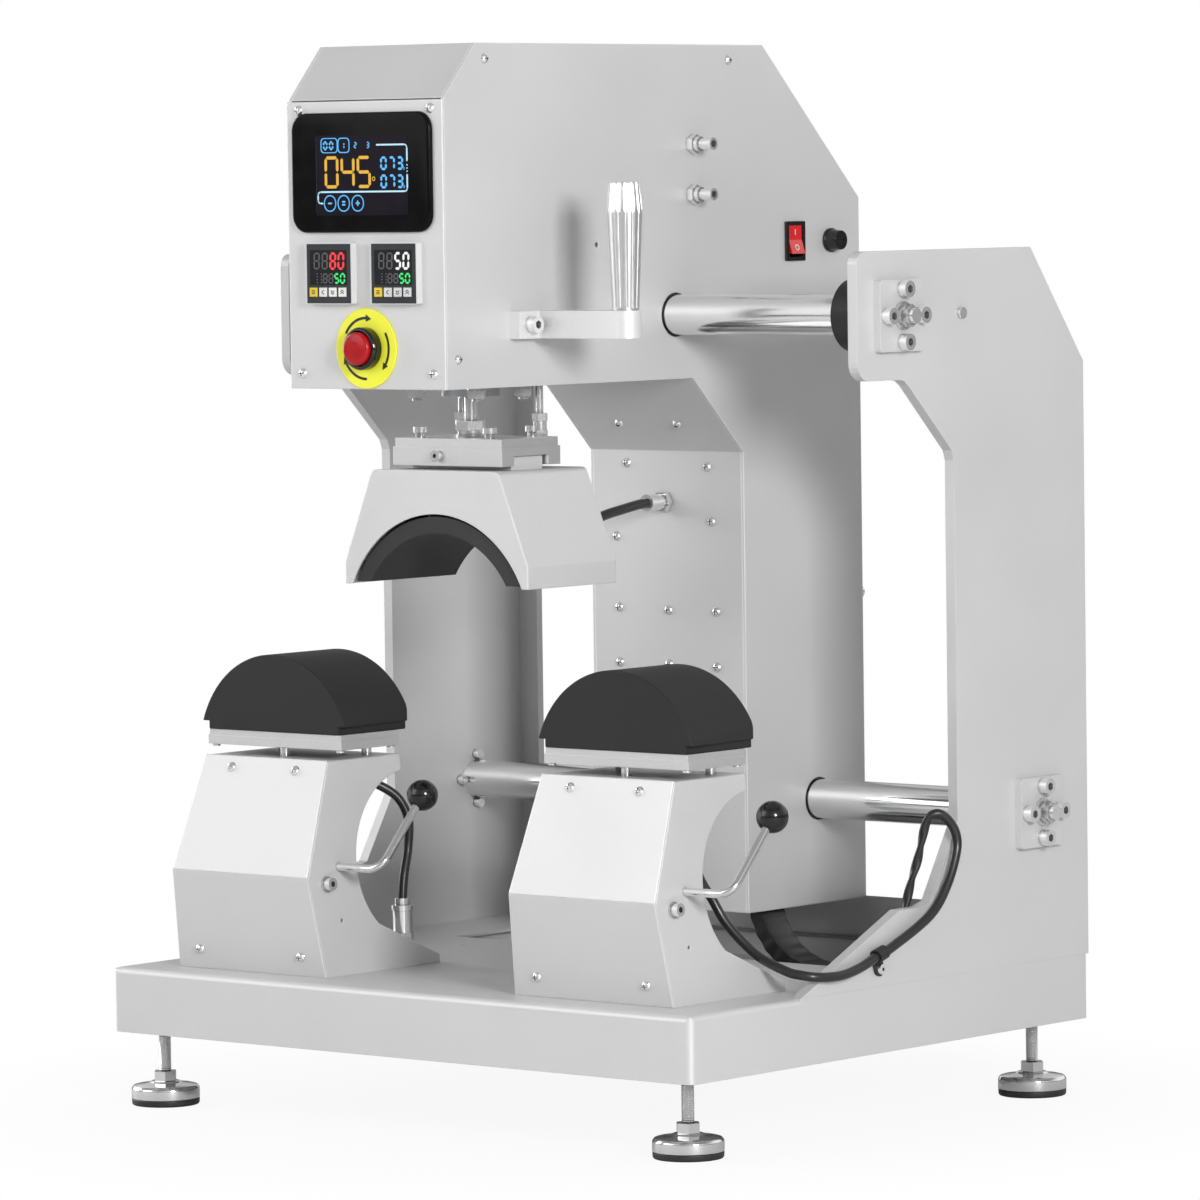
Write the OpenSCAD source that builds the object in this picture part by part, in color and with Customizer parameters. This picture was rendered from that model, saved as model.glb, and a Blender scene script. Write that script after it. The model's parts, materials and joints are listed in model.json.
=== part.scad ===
// Double-station pneumatic cap heat press.
// A carriage with the heated concave platen slides on two shafts between two fixed
// stations. Units are millimetres, +Z up, +X to the right along the front, front faces -Y.
// Heights are over the floor. Depths count from the front face of the base; the whole
// model is then shifted by y_mid, so the origin lies under the middle of its box.

/* [Base] */
// Width of the base tray
base_w = 600; // [590:1:620]
// Depth of the base tray
base_d = 507; // [506:1:520]
// Height of the base tray
base_h = 52; // [48:1:53]
// Height of the tray's underside over the floor
foot_h = 60; // [56:1:60]
// Sheet thickness of the tray
tray_t = 2.5; // [2:0.5:3]
// Radius of the tray's front and side top edges
edge_r = 5; // [3:0.5:5]
// Width of the slot for the cable chain
slot_w = 430; // [400:5:440]
// Diameter of a levelling foot
foot_d = 55; // [50:1:58]

/* [Side plates and shafts] */
// Thickness of a side plate
plate_t = 9; // [8:0.5:10]
// Diameter of the two sliding shafts
shaft_d = 32; // [30:0.5:33]
// Height of the upper shaft over the head's underside
shaft_up = 51; // [48:1:54]
// Height of the lower shaft
lower_z = 232; // [230:1:236]
// Side of a square shaft end plate
end_side = 56; // [54:1:58]
// Thickness of a shaft end plate
end_t = 6.5; // [5:0.5:8]
// Length of a rubber bumper on the upper shaft
bumper_l = 33; // [30:1:33]

/* [Carriage] */
// Width of the carriage over its side panels
head_w = 160; // [158:1:162]
// Greatest height of the head over the floor
head_top = 845; // [840:1:850]
// Height of the head from its underside to its top
head_h = 265; // [262:1:268]
// Sheet thickness of the side panels
panel_t = 2.5; // [2:0.5:3]
// Downward stroke of the press
stroke = 99; // [80:1:100]

/* [Stations] */
// Offset of each station from the middle
station_x = 177.5; // [175:0.5:180]
// Half width of a station at its top
sta_top = 65.5; // [64:0.5:67]
// Half width of a station at its foot
sta_foot = 79; // [77:0.5:80]
// Radius of the domed pad
pad_r = 81; // [79:0.5:81.5]
// Diameter of the lever's ball knob
knob_d = 25; // [22:0.5:26]

/* [Controls] */
// Width of the touch display
disp_w = 143; // [136:1:144]
// Height of the touch display
disp_h = 92.5; // [84:0.5:93]
// Side of a temperature controller
ctrl_s = 48; // [46:0.5:50]
// Diameter of the yellow ring of the emergency stop
ring_d = 62; // [58:1:64]
// Diameter of the emergency stop button
stop_d = 25.5; // [24:0.5:26]

/* [Hidden] */

// General
base_z = foot_h;
deck = foot_h + base_h;
half = base_w / 2;
wall_x = half - plate_t;
hw = head_w / 2;
in_w = hw - panel_t;
thin = 2;
M4 = 2;
M8 = 4;

// Head outline, depth and height
head_bot = head_top - head_h;
front_y = -16;
bend_z = head_top - 43;
slope_y = 23.6;
back_y = base_d - 7.6;
back_z = head_top - 123.3;
rear_y = back_y - 124;
neck_y = 282.7;
col_y = 345.2;
col_z = head_bot - 61.5;
col_bot = deck + 34;
neck_tilt = atan((col_y - neck_y) / (head_bot - col_z));

// The foremost and rearmost points set the middle of the model's box
button_out = 15.5;
gland_out = 15;
y_mid = (front_y - button_out + back_y + gland_out) / 2;

// Shafts
upper_y = 262;
upper_z = head_bot + shaft_up;
lower_y = base_d - 69;
end_pcd = 20.5;
bumper_d = 57;
lug_y = 345;

// Side plate outline, depth and height
lobe_y = 213;
lobe_top = upper_z + 50;
lobe_bot = upper_z - 50;
web_y = 334.5;
chamfer_y = base_d - 69.5;
chamfer_z = upper_z - 42;
toe_y = 133;
ledge_y = 258;
ledge_z = deck + 57;
step_y = 298;

// Slot and trough
slot_y = 321;
slot_back = base_d - 8;
trough_floor = deck - 22;
trough_x = slot_w / 2 + 11;
wall_back = base_d - 2;

// Cable chain, as radii about the middle of its bend
chain_x = 126;
chain_z = col_bot + 14.2;
chain_r0 = 56;
chain_r1 = 70;
chain_end = slot_w / 2 - 3;
chain_y0 = col_y + 26.8;
chain_y1 = col_y + 56.8;

// Press unit
axis_y = 104;
rod_r = 5;
guide_x = 40.5;
guide_y = 140;
guide_r = 3;
nut_x = 31;
nut_dy = 28;
cyl_side = 72;
plate_z = head_bot - 48.5;
plate_zt = plate_z + 7;
cov_z2 = plate_z - 17.5;
cov_z1 = cov_z2 - 73;
cov_z0 = cov_z2 - 90.5;
cov_front = 60;
cov_back = 166;
cov_low = 94.5;
cov_top = 65.3;
cov_r = 6;
cov_lean = atan((cov_low - cov_top) / (cov_z2 - cov_z1));
arch_z = cov_z0 - 40.5;
arch_r = 97;
hot_in = 82;
hot_out = 95;
hand_x = -9;
hand_z = cov_z2 + 11;

// Station, depth and height
sta_y0 = 35;
crease_y = 21.5;
crease_z = deck + 80;
top_y = 54.5;
sta_back = 140;
sta_z = deck + 170;
bite_y = 149;
bite_z = deck + 88;
bite_r = 70;
tail_y = 170;
tail_z = deck + 7;
lean = atan((sta_foot - sta_top) / (sta_z - deck));
cov_t = 1.5;
cov_gap = 0.2;
up_len = norm([top_y - crease_y, sta_z - crease_z]);
up_tilt = atan((top_y - crease_y) / (sta_z - crease_z));
low_len = norm([sta_y0 - crease_y, crease_z - deck]);
low_tilt = atan((sta_y0 - crease_y) / (crease_z - deck));
flank_y = 42;
flank_z = 74;
pad_y0 = 62;
pad_y1 = 143;
pad_z = sta_z + 1;
pad_low = sta_z + 26.5;
pad_cut = 77;
plat_z = sta_z + 8;

// Clamp lever
pivot_y = 58;
pivot_z = deck + 86.3;
arm_y = 51.5;
arm_z = 55;
arm_l = norm([arm_y, arm_z]);
arm_a = atan(arm_y / arm_z);
rod_d = 6.5;
rod_out = 116.1;
bend_r = 12;

// Controls
disp_x = -1.5;
disp_z = head_bot + 167;
ctrl_x = 33.5;
ctrl_z = head_bot + 89.5;
ctrl_out = 6.6;
key_dx = 10;
key_z = head_bot + 75;
key_w = 7.8;
key_h = 7;
stop_z = head_bot + 31.5;
rock_x = hw - 4;
rock_y = back_y - 85.4;
rock_z = head_bot + 107;
rock_tilt = 9;
fuse_y = back_y - 38.4;
fit_y = 284;
fit_z = [head_bot + 146, head_bot + 186];
gland_x = 64;
gland_z = head_bot - 183;
lead_x = -2;
lead_z = head_bot - 103;
board_y = back_y - 21.4;
board_z = head_bot;

// Handle
grip_y = 95.2;
grip_x = hw + 87;
arm_z0 = head_bot + 37;
arm_z1 = arm_z0 + 21.5;
bolt_y = 73;
bolt_z = arm_z0 + 11;

// Leads and their fittings
plug_x = 66;
plug_y = 140;
plug_z = deck + 23.5;
bush_x = half - 23;
bush_y = 292;
exit_x = 30;
exit_y = 112;
lead_d = 7.5;
hot_lead_d = 8;
hose_r = 3.05;
gland_r = 4;
clip_at = [half + 5.6, 226, 138];
clip_screw = [230, 126];
tab_t = 2.5;

panel_spots = [[-68, bend_z - 6.5], [68, bend_z - 6.5], [-67.5, head_bot + 12],
    [67.5, head_bot + 12]];
side_spots = [[34.5, head_top - 12], [332, head_top - 12], [-1, head_bot + 23]];
column_spots = [[-42, col_z - 10.5], [42, col_z - 12.5], [46, col_z - 56.5],
    [-54, col_z - 70.5], [-52, col_z - 128.5], [0, col_z - 129.5], [50, col_z - 129.5],
    [-52, col_z - 173.5], [0, col_z - 173.5], [50, col_z - 174.5]];
neck_spots = [-30.5, 30.5];
foot_spots = [[-half + 28, 30], [half - 28, 30], [-half + 28, base_d - 40],
    [half - 28, base_d - 40]];
cover_spots = [[-34.5, sta_z - 9], [34.5, sta_z - 9], [-54.5, deck + 16], [54.5, deck + 16]];
post_spots = [[0, 76], [-46, 122], [46, 122]];
screw_spots = [[-67, 67.5], [67, 67.5], [-67, 128], [67, 128]];
clamp_spots = [[-36, 85], [36, 85], [-36, 136], [36, 136]];

// Routes of the leads. The right one counts from its station, then from the side plate.
station_run = [[exit_x, exit_y, 279.5], [30, 113, 272], [31, 116.5, 245],
    [35.5, 117, 207], [43, 125.5, 185], [54, 131, 164.5], [76.5, 138, 142.5]];
plate_run = [[-19, 140, 131.5], [-7, 144, 128.8], [1, 150.5, 127.2], [5.5, 165, 126.3],
    [7, 181, 127], [6.5, 203, 131], [5.6, 226, 138], [5.6, 241, 142], [7, 288, 162.5],
    [7, 310.5, 184.5], [6.5, 324, 210.5], [5, 324, 226], [1, 317, 237], [-3.5, 310.5, 240],
    [-9, 306, 234], [-15, 302.5, 205.5], [-18.5, 299.5, 190.5], [-23, 296, 167.5],
    [-23, bush_y, 150], [-23, bush_y, deck + 7]];
right_path = concat([for (p = station_run) p + [station_x, 0, 0]],
    [for (p = plate_run) p + [half, 0, 0]]);
left_path = [[exit_x, exit_y, 279.5], [30, 113, 273.5], [32, 121, 266], [41, 136, 258],
    [54, 149, 246], [62, 153, 228], [62.5, 151.5, 205], [64.5, 144, 184],
    [plug_x, plug_y, plug_z + 30.5]];
hot_path = [[lead_x, col_y - 24, lead_z], [lead_x, 312, 476.3], [lead_x, 292.5, 473.5],
    [lead_x, 266, 469], [lead_x, 246, 462], [lead_x, 226, 455], [lead_x, 207, 455],
    [lead_x, 193, 467], [lead_x, 182, 486], [lead_x, cov_back - 0.8, cov_z2 - 17]];

// ---- helpers ----
module shift() {
    translate([0, -y_mid, 0]) children();
}
// Extrudes a (depth, height) outline from x0 to x1
module yz(x0, x1) {
    translate([x0, 0, 0]) rotate([90, 0, 90]) linear_extrude(x1 - x0) children();
}
// Extrudes an (across, height) outline from depth y0 to y1
module xz(y0, y1) {
    translate([0, y1, 0]) rotate([90, 0, 0]) linear_extrude(y1 - y0) children();
}
module cyl_x(r, x0, x1, y, z, n = 32) {
    translate([x0, y, z]) rotate([0, 90, 0]) cylinder(r = r, h = x1 - x0, $fn = n);
}
module cyl_y(r, y0, y1, x, z, n = 32) {
    translate([x, y1, z]) rotate([90, 0, 0]) cylinder(r = r, h = y1 - y0, $fn = n);
}
module cyl_z(r, z0, z1, x, y, n = 32) {
    translate([x, y, z0]) cylinder(r = r, h = z1 - z0, $fn = n);
}
module box(x0, x1, y0, y1, z0, z1) {
    translate([x0, y0, z0]) cube([x1 - x0, y1 - y0, z1 - z0]);
}
// Rounded rectangle centred on the origin
module rrect(w, d, r) {
    square([w, d - 2 * r], center = true);
    square([w - 2 * r, d], center = true);
    for (x = [-1, 1], y = [-1, 1])
        translate([x * (w / 2 - r), y * (d / 2 - r)]) circle(r = r, $fn = 32);
}
// Points on an arc from angle a0 to a1
function arc(cx, cy, r, a0, a1, n = 8) =
    [for (i = [0:n]) let (a = a0 + (a1 - a0) * i / n) [cx + r * cos(a), cy + r * sin(a)]];
// Smooth curve through the points of a route
function ease(a, b, c, d, t) = 0.5 * (2 * b + (c - a) * t
    + (2 * a - 5 * b + 4 * c - d) * t * t + (3 * b - a - 3 * c + d) * t * t * t);
function smooth(p, n = 3) = let (m = len(p) - 1) concat(
    [for (i = [0:m - 1], j = [0:n - 1]) ease(p[max(i - 1, 0)], p[i], p[i + 1],
        p[min(i + 2, m)], j / n)], [p[m]]);
function unit(v) = v / norm(v);
function side_dirs(t, s0) = [for (i = 0, s = s0; i < len(t);
    i = i + 1, s = i < len(t) ? unit(s - (s * t[i]) * t[i]) : s) s];
// Round tube along a route. It leaves along first and arrives along last, and side is a
// direction across its start.
module tube(route, d, sides, side, first, last) {
    m = len(route);
    t = concat([first], [for (i = [1:m - 2]) unit(route[i + 1] - route[i - 1])], [last]);
    s = side_dirs(t, side);
    pts = [for (i = [0:m - 1], j = [0:sides - 1]) let (a = 360 * j / sides)
        route[i] + d / 2 * (cos(a) * s[i] + sin(a) * cross(t[i], s[i]))];
    walls = [for (i = [0:m - 2], j = [0:sides - 1], k = [0, 1]) let (j2 = (j + 1) % sides)
        k == 0 ? [i * sides + j, (i + 1) * sides + j, (i + 1) * sides + j2]
        : [i * sides + j, (i + 1) * sides + j2, i * sides + j2]];
    caps = [[for (j = [0:sides - 1]) j], [for (j = [sides - 1:-1:0]) (m - 1) * sides + j]];
    polyhedron(points = pts, faces = concat(walls, caps));
}
// Dome-headed screw with a cross recess, its head along +Z
module dome_screw(depth) {
    head_r = 4.2;
    head_h = 2.8;
    round_r = (head_r * head_r + head_h * head_h) / (2 * head_h);
    difference() {
        union() {
            intersection() {
                translate([0, 0, head_h - round_r]) sphere(r = round_r, $fn = 32);
                cylinder(r = head_r + 1, h = head_h + 1, $fn = 24);
            }
            translate([0, 0, -depth]) cylinder(r = M4, h = depth + 0.5, $fn = 20);
        }
        for (a = [0, 90]) rotate([0, 0, a]) translate([-2.3, -0.5, head_h - 1.3])
            cube([4.6, 1, 2]);
    }
}
// Screw along +X with its head outward from x
module screw_x(x, y, z, r, head_r, head_h, depth) {
    cyl_x(head_r, x, x + head_h, y, z, 24);
    cyl_x(r, x - depth, x, y, z, 20);
}
module screw_y(y, x, z, r, head_r, head_h, depth) {
    cyl_y(head_r, y - head_h, y, x, z, 24);
    cyl_y(r, y, y + depth, x, z, 20);
}

// ---- base ----
module tray_outline(inset) {
    translate([0, base_d / 2]) rrect(base_w - 2 * inset, base_d - 2 * inset, 6 - inset);
}
module edge_cut_x() {
    difference() {
        box(-half - 1, half + 1, -1, edge_r, deck - edge_r, deck + 1);
        cyl_x(edge_r, -half - 2, half + 2, edge_r, deck - edge_r, 32);
    }
}
module edge_cut_y(side) {
    scale([side, 1, 1]) difference() {
        box(half - edge_r, half + 1, -1, toe_y, deck - edge_r, deck + 1);
        cyl_y(edge_r, -2, toe_y + 1, half - edge_r, deck - edge_r, 32);
    }
}
module base_tray() {
    color("silver") shift() difference() {
        union() {
            difference() {
                translate([0, 0, base_z]) linear_extrude(base_h) tray_outline(0);
                translate([0, 0, base_z - 1]) linear_extrude(base_h - tray_t + 1)
                    tray_outline(tray_t);
                edge_cut_x();
                for (s = [-1, 1]) edge_cut_y(s);
            }
            // turned-in lip, gussets and washers over the feet
            translate([0, 0, base_z]) linear_extrude(tray_t) difference() {
                tray_outline(1);
                translate([0, base_d / 2]) square([base_w - 50, base_d - 50], center = true);
            }
            for (p = foot_spots) {
                box(p[0] - 26, p[0] + 26, p[1] - 26, p[1] + 26, base_z, base_z + 4);
                cyl_z(9, base_z, base_z + 14, p[0], p[1]);
                cyl_z(12, base_z - 2.5, base_z, p[0], p[1]);
            }
        }
        box(-slot_w / 2, slot_w / 2, slot_y, slot_back, deck - 10, deck + 1);
        for (p = foot_spots) cyl_z(5.05, base_z - 4, base_z + 16, p[0], p[1]);
        cyl_z(3, deck - 10, deck + 1, bush_x, bush_y);
        cyl_z(2.2, deck - 10, deck + 1, -166, 275);
    }
}

// ---- side plates ----
module plate_outline() {
    r = 10;
    polygon(concat([[toe_y, deck], [ledge_y, ledge_z], [ledge_y + 27, ledge_z],
        [step_y, ledge_z + 3.5], [web_y, ledge_z + 63], [web_y, lobe_bot - 65],
        [web_y - 3, lobe_bot - 57], [lobe_y + 64, lobe_bot - 5], [lobe_y + 58, lobe_bot - 1],
        [lobe_y + 51, lobe_bot]],
        arc(lobe_y + 14, lobe_bot + 14, 14, 270, 180, 6),
        arc(lobe_y + r, lobe_top - r, r, 180, 90, 6),
        [[chamfer_y, lobe_top], [base_d, chamfer_z], [base_d, deck]]));
}
module end_holes() {
    for (c = [[upper_y, upper_z], [lower_y, lower_z]]) {
        cyl_x(6.2, -half - 20, half + 20, c[0], c[1]);
        for (a = [0, 90, 180, 270])
            cyl_x(M8 + 0.2, -half - 20, half + 20, c[0] + end_pcd * cos(a),
                c[1] + end_pcd * sin(a), 24);
    }
}
module side_plate() {
    difference() {
        union() {
            yz(wall_x, half) plate_outline();
            // bar down the inside of the rear edge
            box(wall_x - 19.5, wall_x, base_d - 9, wall_back, deck, chamfer_z);
        }
        end_holes();
        cyl_x(2.5, wall_x - 1, half + 1, lug_y, upper_z, 20);
        cyl_x(2.2, wall_x - 1, half + 1, clip_screw[0], clip_screw[1], 20);
    }
}
module side_plate_left() {
    color("lightgrey") shift() mirror([1, 0, 0]) side_plate();
}
module side_plate_right() {
    color("lightgrey") shift() side_plate();
}
module rear_trough() {
    color("grey") shift() {
        box(-wall_x, wall_x, wall_back, wall_back + thin, deck, col_bot);
        difference() {
            box(-trough_x, trough_x, slot_y - 9, slot_back + 5, trough_floor - thin,
                deck - tray_t);
            box(-trough_x + thin, trough_x - thin, slot_y - 9 + thin, slot_back + 5 - thin,
                trough_floor, deck);
        }
    }
}

// ---- shafts ----
module shaft(y, z) {
    difference() {
        cyl_x(shaft_d / 2, -wall_x, wall_x, y, z, 64);
        for (s = [-1, 1]) cyl_x(6.2, s * wall_x - 30, s * wall_x + 30, y, z);
    }
}
module slide_shafts() {
    color("gainsboro") shift() {
        shaft(upper_y, upper_z);
        shaft(lower_y, lower_z);
    }
}
module shaft_end_plates() {
    color("lightgrey") shift() difference() {
        for (s = [-1, 1], c = [[upper_y, upper_z], [lower_y, lower_z]])
            scale([s, 1, 1]) yz(half, half + end_t) translate(c)
                rrect(end_side, end_side, 2.5);
        end_holes();
    }
}
module shaft_bolt_set(y, z, long) {
    x = half + end_t;
    reach = long ? 6 : 0;
    for (a = [0, 90, 180, 270]) {
        by = y + end_pcd * cos(a);
        bz = z + end_pcd * sin(a);
        difference() {
            screw_x(x, by, bz, M8, 6.5, 8, x - wall_x + reach);
            cyl_x(3.4, x + 4, x + 9, by, bz, 6);
        }
    }
    cyl_x(11, x, x + 2, y, z);
    cyl_x(9, x + 2, x + 10, y, z, 6);
    cyl_x(6, wall_x - 25, x + 14, y, z);
}
module shaft_bolts() {
    color("silver") shift() for (s = [-1, 1]) scale([s, 1, 1]) {
        shaft_bolt_set(upper_y, upper_z, false);
        shaft_bolt_set(lower_y, lower_z, true);
        screw_x(half, lug_y, upper_z, 2.4, 4.5, 3, 6);
    }
}
module shaft_bumpers() {
    color("black") shift() for (s = [-1, 1]) scale([s, 1, 1]) difference() {
        cyl_x(bumper_d / 2, wall_x - bumper_l, wall_x, upper_y, upper_z, 48);
        cyl_x(shaft_d / 2 + 0.03, wall_x - bumper_l - 1, wall_x + 1, upper_y, upper_z, 64);
    }
}

// ---- leads and their fittings ----
module cable_clip() {
    // loop around the lead, and its tab down the plate
    color("black") shift() difference() {
        union() {
            translate(clip_at) rotate([-74, 0, 0])
                cylinder(r = clip_at[0] - half, h = 11, center = true, $fn = 32);
            yz(half, half + tab_t) {
                translate(clip_screw) circle(r = 5.5, $fn = 32);
                polygon([[clip_screw[0] - 5.4, clip_screw[1] - 1],
                    [clip_screw[0] + 5.4, clip_screw[1] - 1],
                    [clip_at[1] + 5.3, clip_at[2] + 0.4], [clip_at[1] - 5.3, clip_at[2] - 2.4]]);
            }
        }
        translate(clip_at) rotate([-74, 0, 0])
            cylinder(r = lead_d / 2 + 0.4, h = 40, center = true, $fn = 32);
        cyl_x(2.2, half - 1, half + tab_t + 1, clip_screw[0], clip_screw[1], 20);
    }
}
module lead_fittings() {
    color("silver") shift() {
        // screw of the clip
        difference() {
            screw_x(half + tab_t, clip_screw[0], clip_screw[1], 2.1, 4.2, 3, 8);
            cyl_x(1.6, half + tab_t + 1.5, half + tab_t + 4, clip_screw[0], clip_screw[1], 6);
        }
        // bush where the right lead enters the base
        difference() {
            union() {
                cyl_z(7, deck, deck + 4, bush_x, bush_y);
                cyl_z(5.2, deck + 4, deck + 7, bush_x, bush_y);
            }
            cyl_z(2.9, deck - 1, deck + 4, bush_x, bush_y);
        }
        // metal connector on the tail of the left station
        translate([plug_x - station_x, plug_y, 0]) {
            cyl_z(9, plug_z - 6, plug_z + 3, 0, 0, 6);
            cyl_z(8, plug_z + 3, plug_z + 21, 0, 0);
            cyl_z(9, plug_z + 21, plug_z + 25, 0, 0);
            cyl_z(6.2, plug_z + 25, plug_z + 30.5, 0, 0);
        }
        // gland bushes under the station tops
        for (s = [-1, 1]) cyl_z(6.5, sta_z - thin - 0.5, sta_z - thin,
            s * station_x + exit_x, exit_y);
    }
}
module right_lead() {
    color("black") shift() tube(smooth(right_path), lead_d, 10, [1, 0, 0],
        [0, 0, -1], [0, 0, -1]);
}
module left_lead() {
    color("black") shift() translate([-station_x, 0, 0])
        tube(smooth(left_path), lead_d, 10, [1, 0, 0], [0, 0, -1], [0, 0, -1]);
}

// ---- stations ----
function flank_outline(n) = concat([[sta_y0, 0], [crease_y, crease_z - deck],
    [top_y, sta_z - deck], [sta_back, sta_z - deck]],
    arc(bite_y, bite_z - deck, bite_r, 97.4, 226, n),
    [[tail_y, tail_z - deck], [tail_y, 0]]);
// Places children in a flank's own plane, from its foot
module at_flank() {
    translate([sta_foot, 0, deck]) rotate([0, -lean, 0]) children();
}
module flank() {
    at_flank() difference() {
        yz(-thin, 0) polygon(flank_outline(24));
        cyl_x(3.2, -10, 10, flank_y, flank_z, 20);
        cyl_x(1.6, -10, 10, 57, 44, 20);
    }
}
// Depth of the line behind the cover at a height
function cover_y(z) = z > crease_z ? crease_y + (z - crease_z) * tan(up_tilt)
    : sta_y0 - (z - deck) * tan(low_tilt);
// Places children at (across, height) on that line, +Z out of the cover
module on_cover(p) {
    translate([p[0], cover_y(p[1]), p[1]])
        rotate([p[1] > crease_z ? 90 - up_tilt : 90 + low_tilt, 0, 0]) children();
}
// Flange behind the cover from height z0 to z1
module flange(x0, x1, z0, z1) {
    yz(x0, x1) polygon([[cover_y(z0), z0], [cover_y(z1), z1], [cover_y(z1) + 6, z1],
        [cover_y(z0) + 6, z0]]);
}
module station_body(x) {
    color("silver") shift() translate([x, 0, 0]) difference() {
        union() {
            flank();
            mirror([1, 0, 0]) flank();
            // top plate
            box(-sta_top + 1, sta_top - 1, top_y + 1, sta_back, sta_z - thin, sta_z);
            // flanges that the cover screws to
            flange(-46, 46, sta_z - 20, sta_z - thin);
            for (s = [-1, 1]) scale([s, 1, 1]) flange(40, sta_foot - 3, deck, deck + 24);
            // floor flange and sloping tail deck
            box(5 - sta_foot, sta_foot - 5, 36, tail_y - 1, deck, deck + thin);
            yz(3.8 - sta_foot, sta_foot - 3.8) polygon([[103, tail_z + 28.2],
                [tail_y, tail_z - 2], [tail_y, tail_z - 4.4], [103, tail_z + 25.8]]);
            // bush of the lever pivot
            cyl_x(7, 52, 70.4, pivot_y, pivot_z);
        }
        box(-100, 100, 0, 200, deck - 10, deck);
        cyl_x(rod_d / 2 + 0.05, 40, 90, pivot_y, pivot_z);
        for (p = post_spots) cyl_z(4.2, sta_z - 5, sta_z + 1, p[0], p[1], 24);
        cyl_z(3.2, sta_z - 5, sta_z + 1, exit_x, exit_y, 24);
        cyl_z(9.3, plug_z - 13, plug_z + 12, plug_x, plug_y);
        for (p = cover_spots) on_cover(p) translate([0, 0, -10])
            cylinder(r = M4 + 0.1, h = 14, $fn = 20);
    }
}
module station_body_left() {
    station_body(-station_x);
}
module station_body_right() {
    station_body(station_x);
}
function half_at(z) = sta_foot - (sta_foot - sta_top) * (z - deck) / (sta_z - deck);
module station_cover(x) {
    w1 = half_at(crease_z);
    translate([x, 0, 0]) difference() {
        union() {
            translate([0, crease_y, crease_z]) rotate([90 - up_tilt, 0, 0])
                translate([0, 0, cov_gap]) linear_extrude(cov_t) polygon([[-w1, -0.3],
                    [w1, -0.3], [sta_top, up_len], [-sta_top, up_len]]);
            translate([0, sta_y0, deck]) rotate([90 + low_tilt, 0, 0])
                translate([0, 0, cov_gap]) linear_extrude(cov_t) polygon([[-sta_foot, 0.3],
                    [sta_foot, 0.3], [w1, low_len + 0.3], [-w1, low_len + 0.3]]);
        }
        for (p = cover_spots) on_cover(p) translate([0, 0, -10])
            cylinder(r = M4 + 0.1, h = 14, $fn = 20);
    }
}
module station_covers() {
    color("gainsboro") shift() for (s = [-1, 1]) station_cover(s * station_x);
}
module station_screws() {
    color("silver") shift() for (s = [-1, 1]) translate([s * station_x, 0, 0]) {
        for (p = cover_spots) on_cover(p) translate([0, 0, cov_gap + cov_t]) dome_screw(5);
        // socket screw and washer on the flank beside the lever
        at_flank() difference() {
            union() {
                cyl_x(6.4, 0, 1.2, flank_y, flank_z);
                cyl_x(5, 1.2, 7.2, flank_y, flank_z);
                cyl_x(3, -8, 1.2, flank_y, flank_z, 20);
            }
            cyl_x(2.5, 4, 8, flank_y, flank_z, 6);
        }
    }
}
module platen_bases() {
    color("silver") shift() for (s = [-1, 1]) translate([s * station_x, 0, 0]) difference() {
        union() {
            box(-72, 72, pad_y0 + 1.5, pad_y0 + 70, plat_z, plat_z + 7);
            box(-71, 71, pad_y0 + 2, pad_y0 + 71, plat_z + 7, plat_z + 12);
        }
        for (p = post_spots) cyl_z(3.1, plat_z - 1, plat_z + 6, p[0], p[1], 24);
        for (p = screw_spots) cyl_z(2.1, plat_z - 1, plat_z + 9, p[0], p[1], 20);
    }
}
module platen_posts() {
    color("gainsboro") shift() for (s = [-1, 1]) translate([s * station_x, 0, 0]) {
        for (p = post_spots) {
            cyl_z(4, sta_z - 9, plat_z, p[0], p[1]);
            cyl_z(3, plat_z, plat_z + 5.5, p[0], p[1], 24);
            cyl_z(6.5, sta_z - 8, sta_z - thin, p[0], p[1], 6);
        }
        for (p = screw_spots) {
            cyl_z(3.2, plat_z - 2, plat_z, p[0], p[1], 24);
            cyl_z(2, plat_z, plat_z + 8, p[0], p[1], 20);
        }
    }
}
module silicone_pads() {
    rear = atan(5 / (pad_y1 - pad_y0));
    color("dimgray") shift() for (s = [-1, 1]) translate([s * station_x, 0, 0]) difference() {
        union() {
            xz(pad_y0, pad_y1) intersection() {
                translate([0, pad_z]) circle(r = pad_r, $fn = 96);
                translate([-100, pad_low]) square([200, 100]);
            }
            box(-70, 70, pad_y0 + 0.5, pad_y1 - 6, plat_z + 12, pad_low);
        }
        // the sides draw in towards the back
        for (k = [-1, 1]) scale([k, 1, 1]) translate([pad_cut, pad_y0, pad_low - 1])
            rotate([0, 0, rear]) cube([30, 100, 100]);
    }
}
module lever() {
    // cranked rod: pivot stretch along X, a bend, then the arm
    translate([0, pivot_y, pivot_z]) {
        cyl_x(rod_d / 2, 45, rod_out - bend_r, 0, 0);
        rotate([-arm_a, 0, 0]) {
            translate([rod_out - bend_r, 0, bend_r]) rotate([90, 0, 0]) rotate([0, 0, -90])
                rotate_extrude(angle = 90, $fn = 64) translate([bend_r, 0])
                    circle(r = rod_d / 2, $fn = 32);
            translate([rod_out, 0, bend_r])
                cylinder(r = rod_d / 2, h = arm_l - 6 - bend_r, $fn = 32);
        }
        // inner cam that pulls the cap clamp down
        difference() {
            union() {
                cyl_x(9, 45, 51, 0, 0);
                box(45, 51, -6, 6, -28, 0);
            }
            cyl_x(2.1, 44, 52, 0, -22, 20);
        }
    }
}
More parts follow.
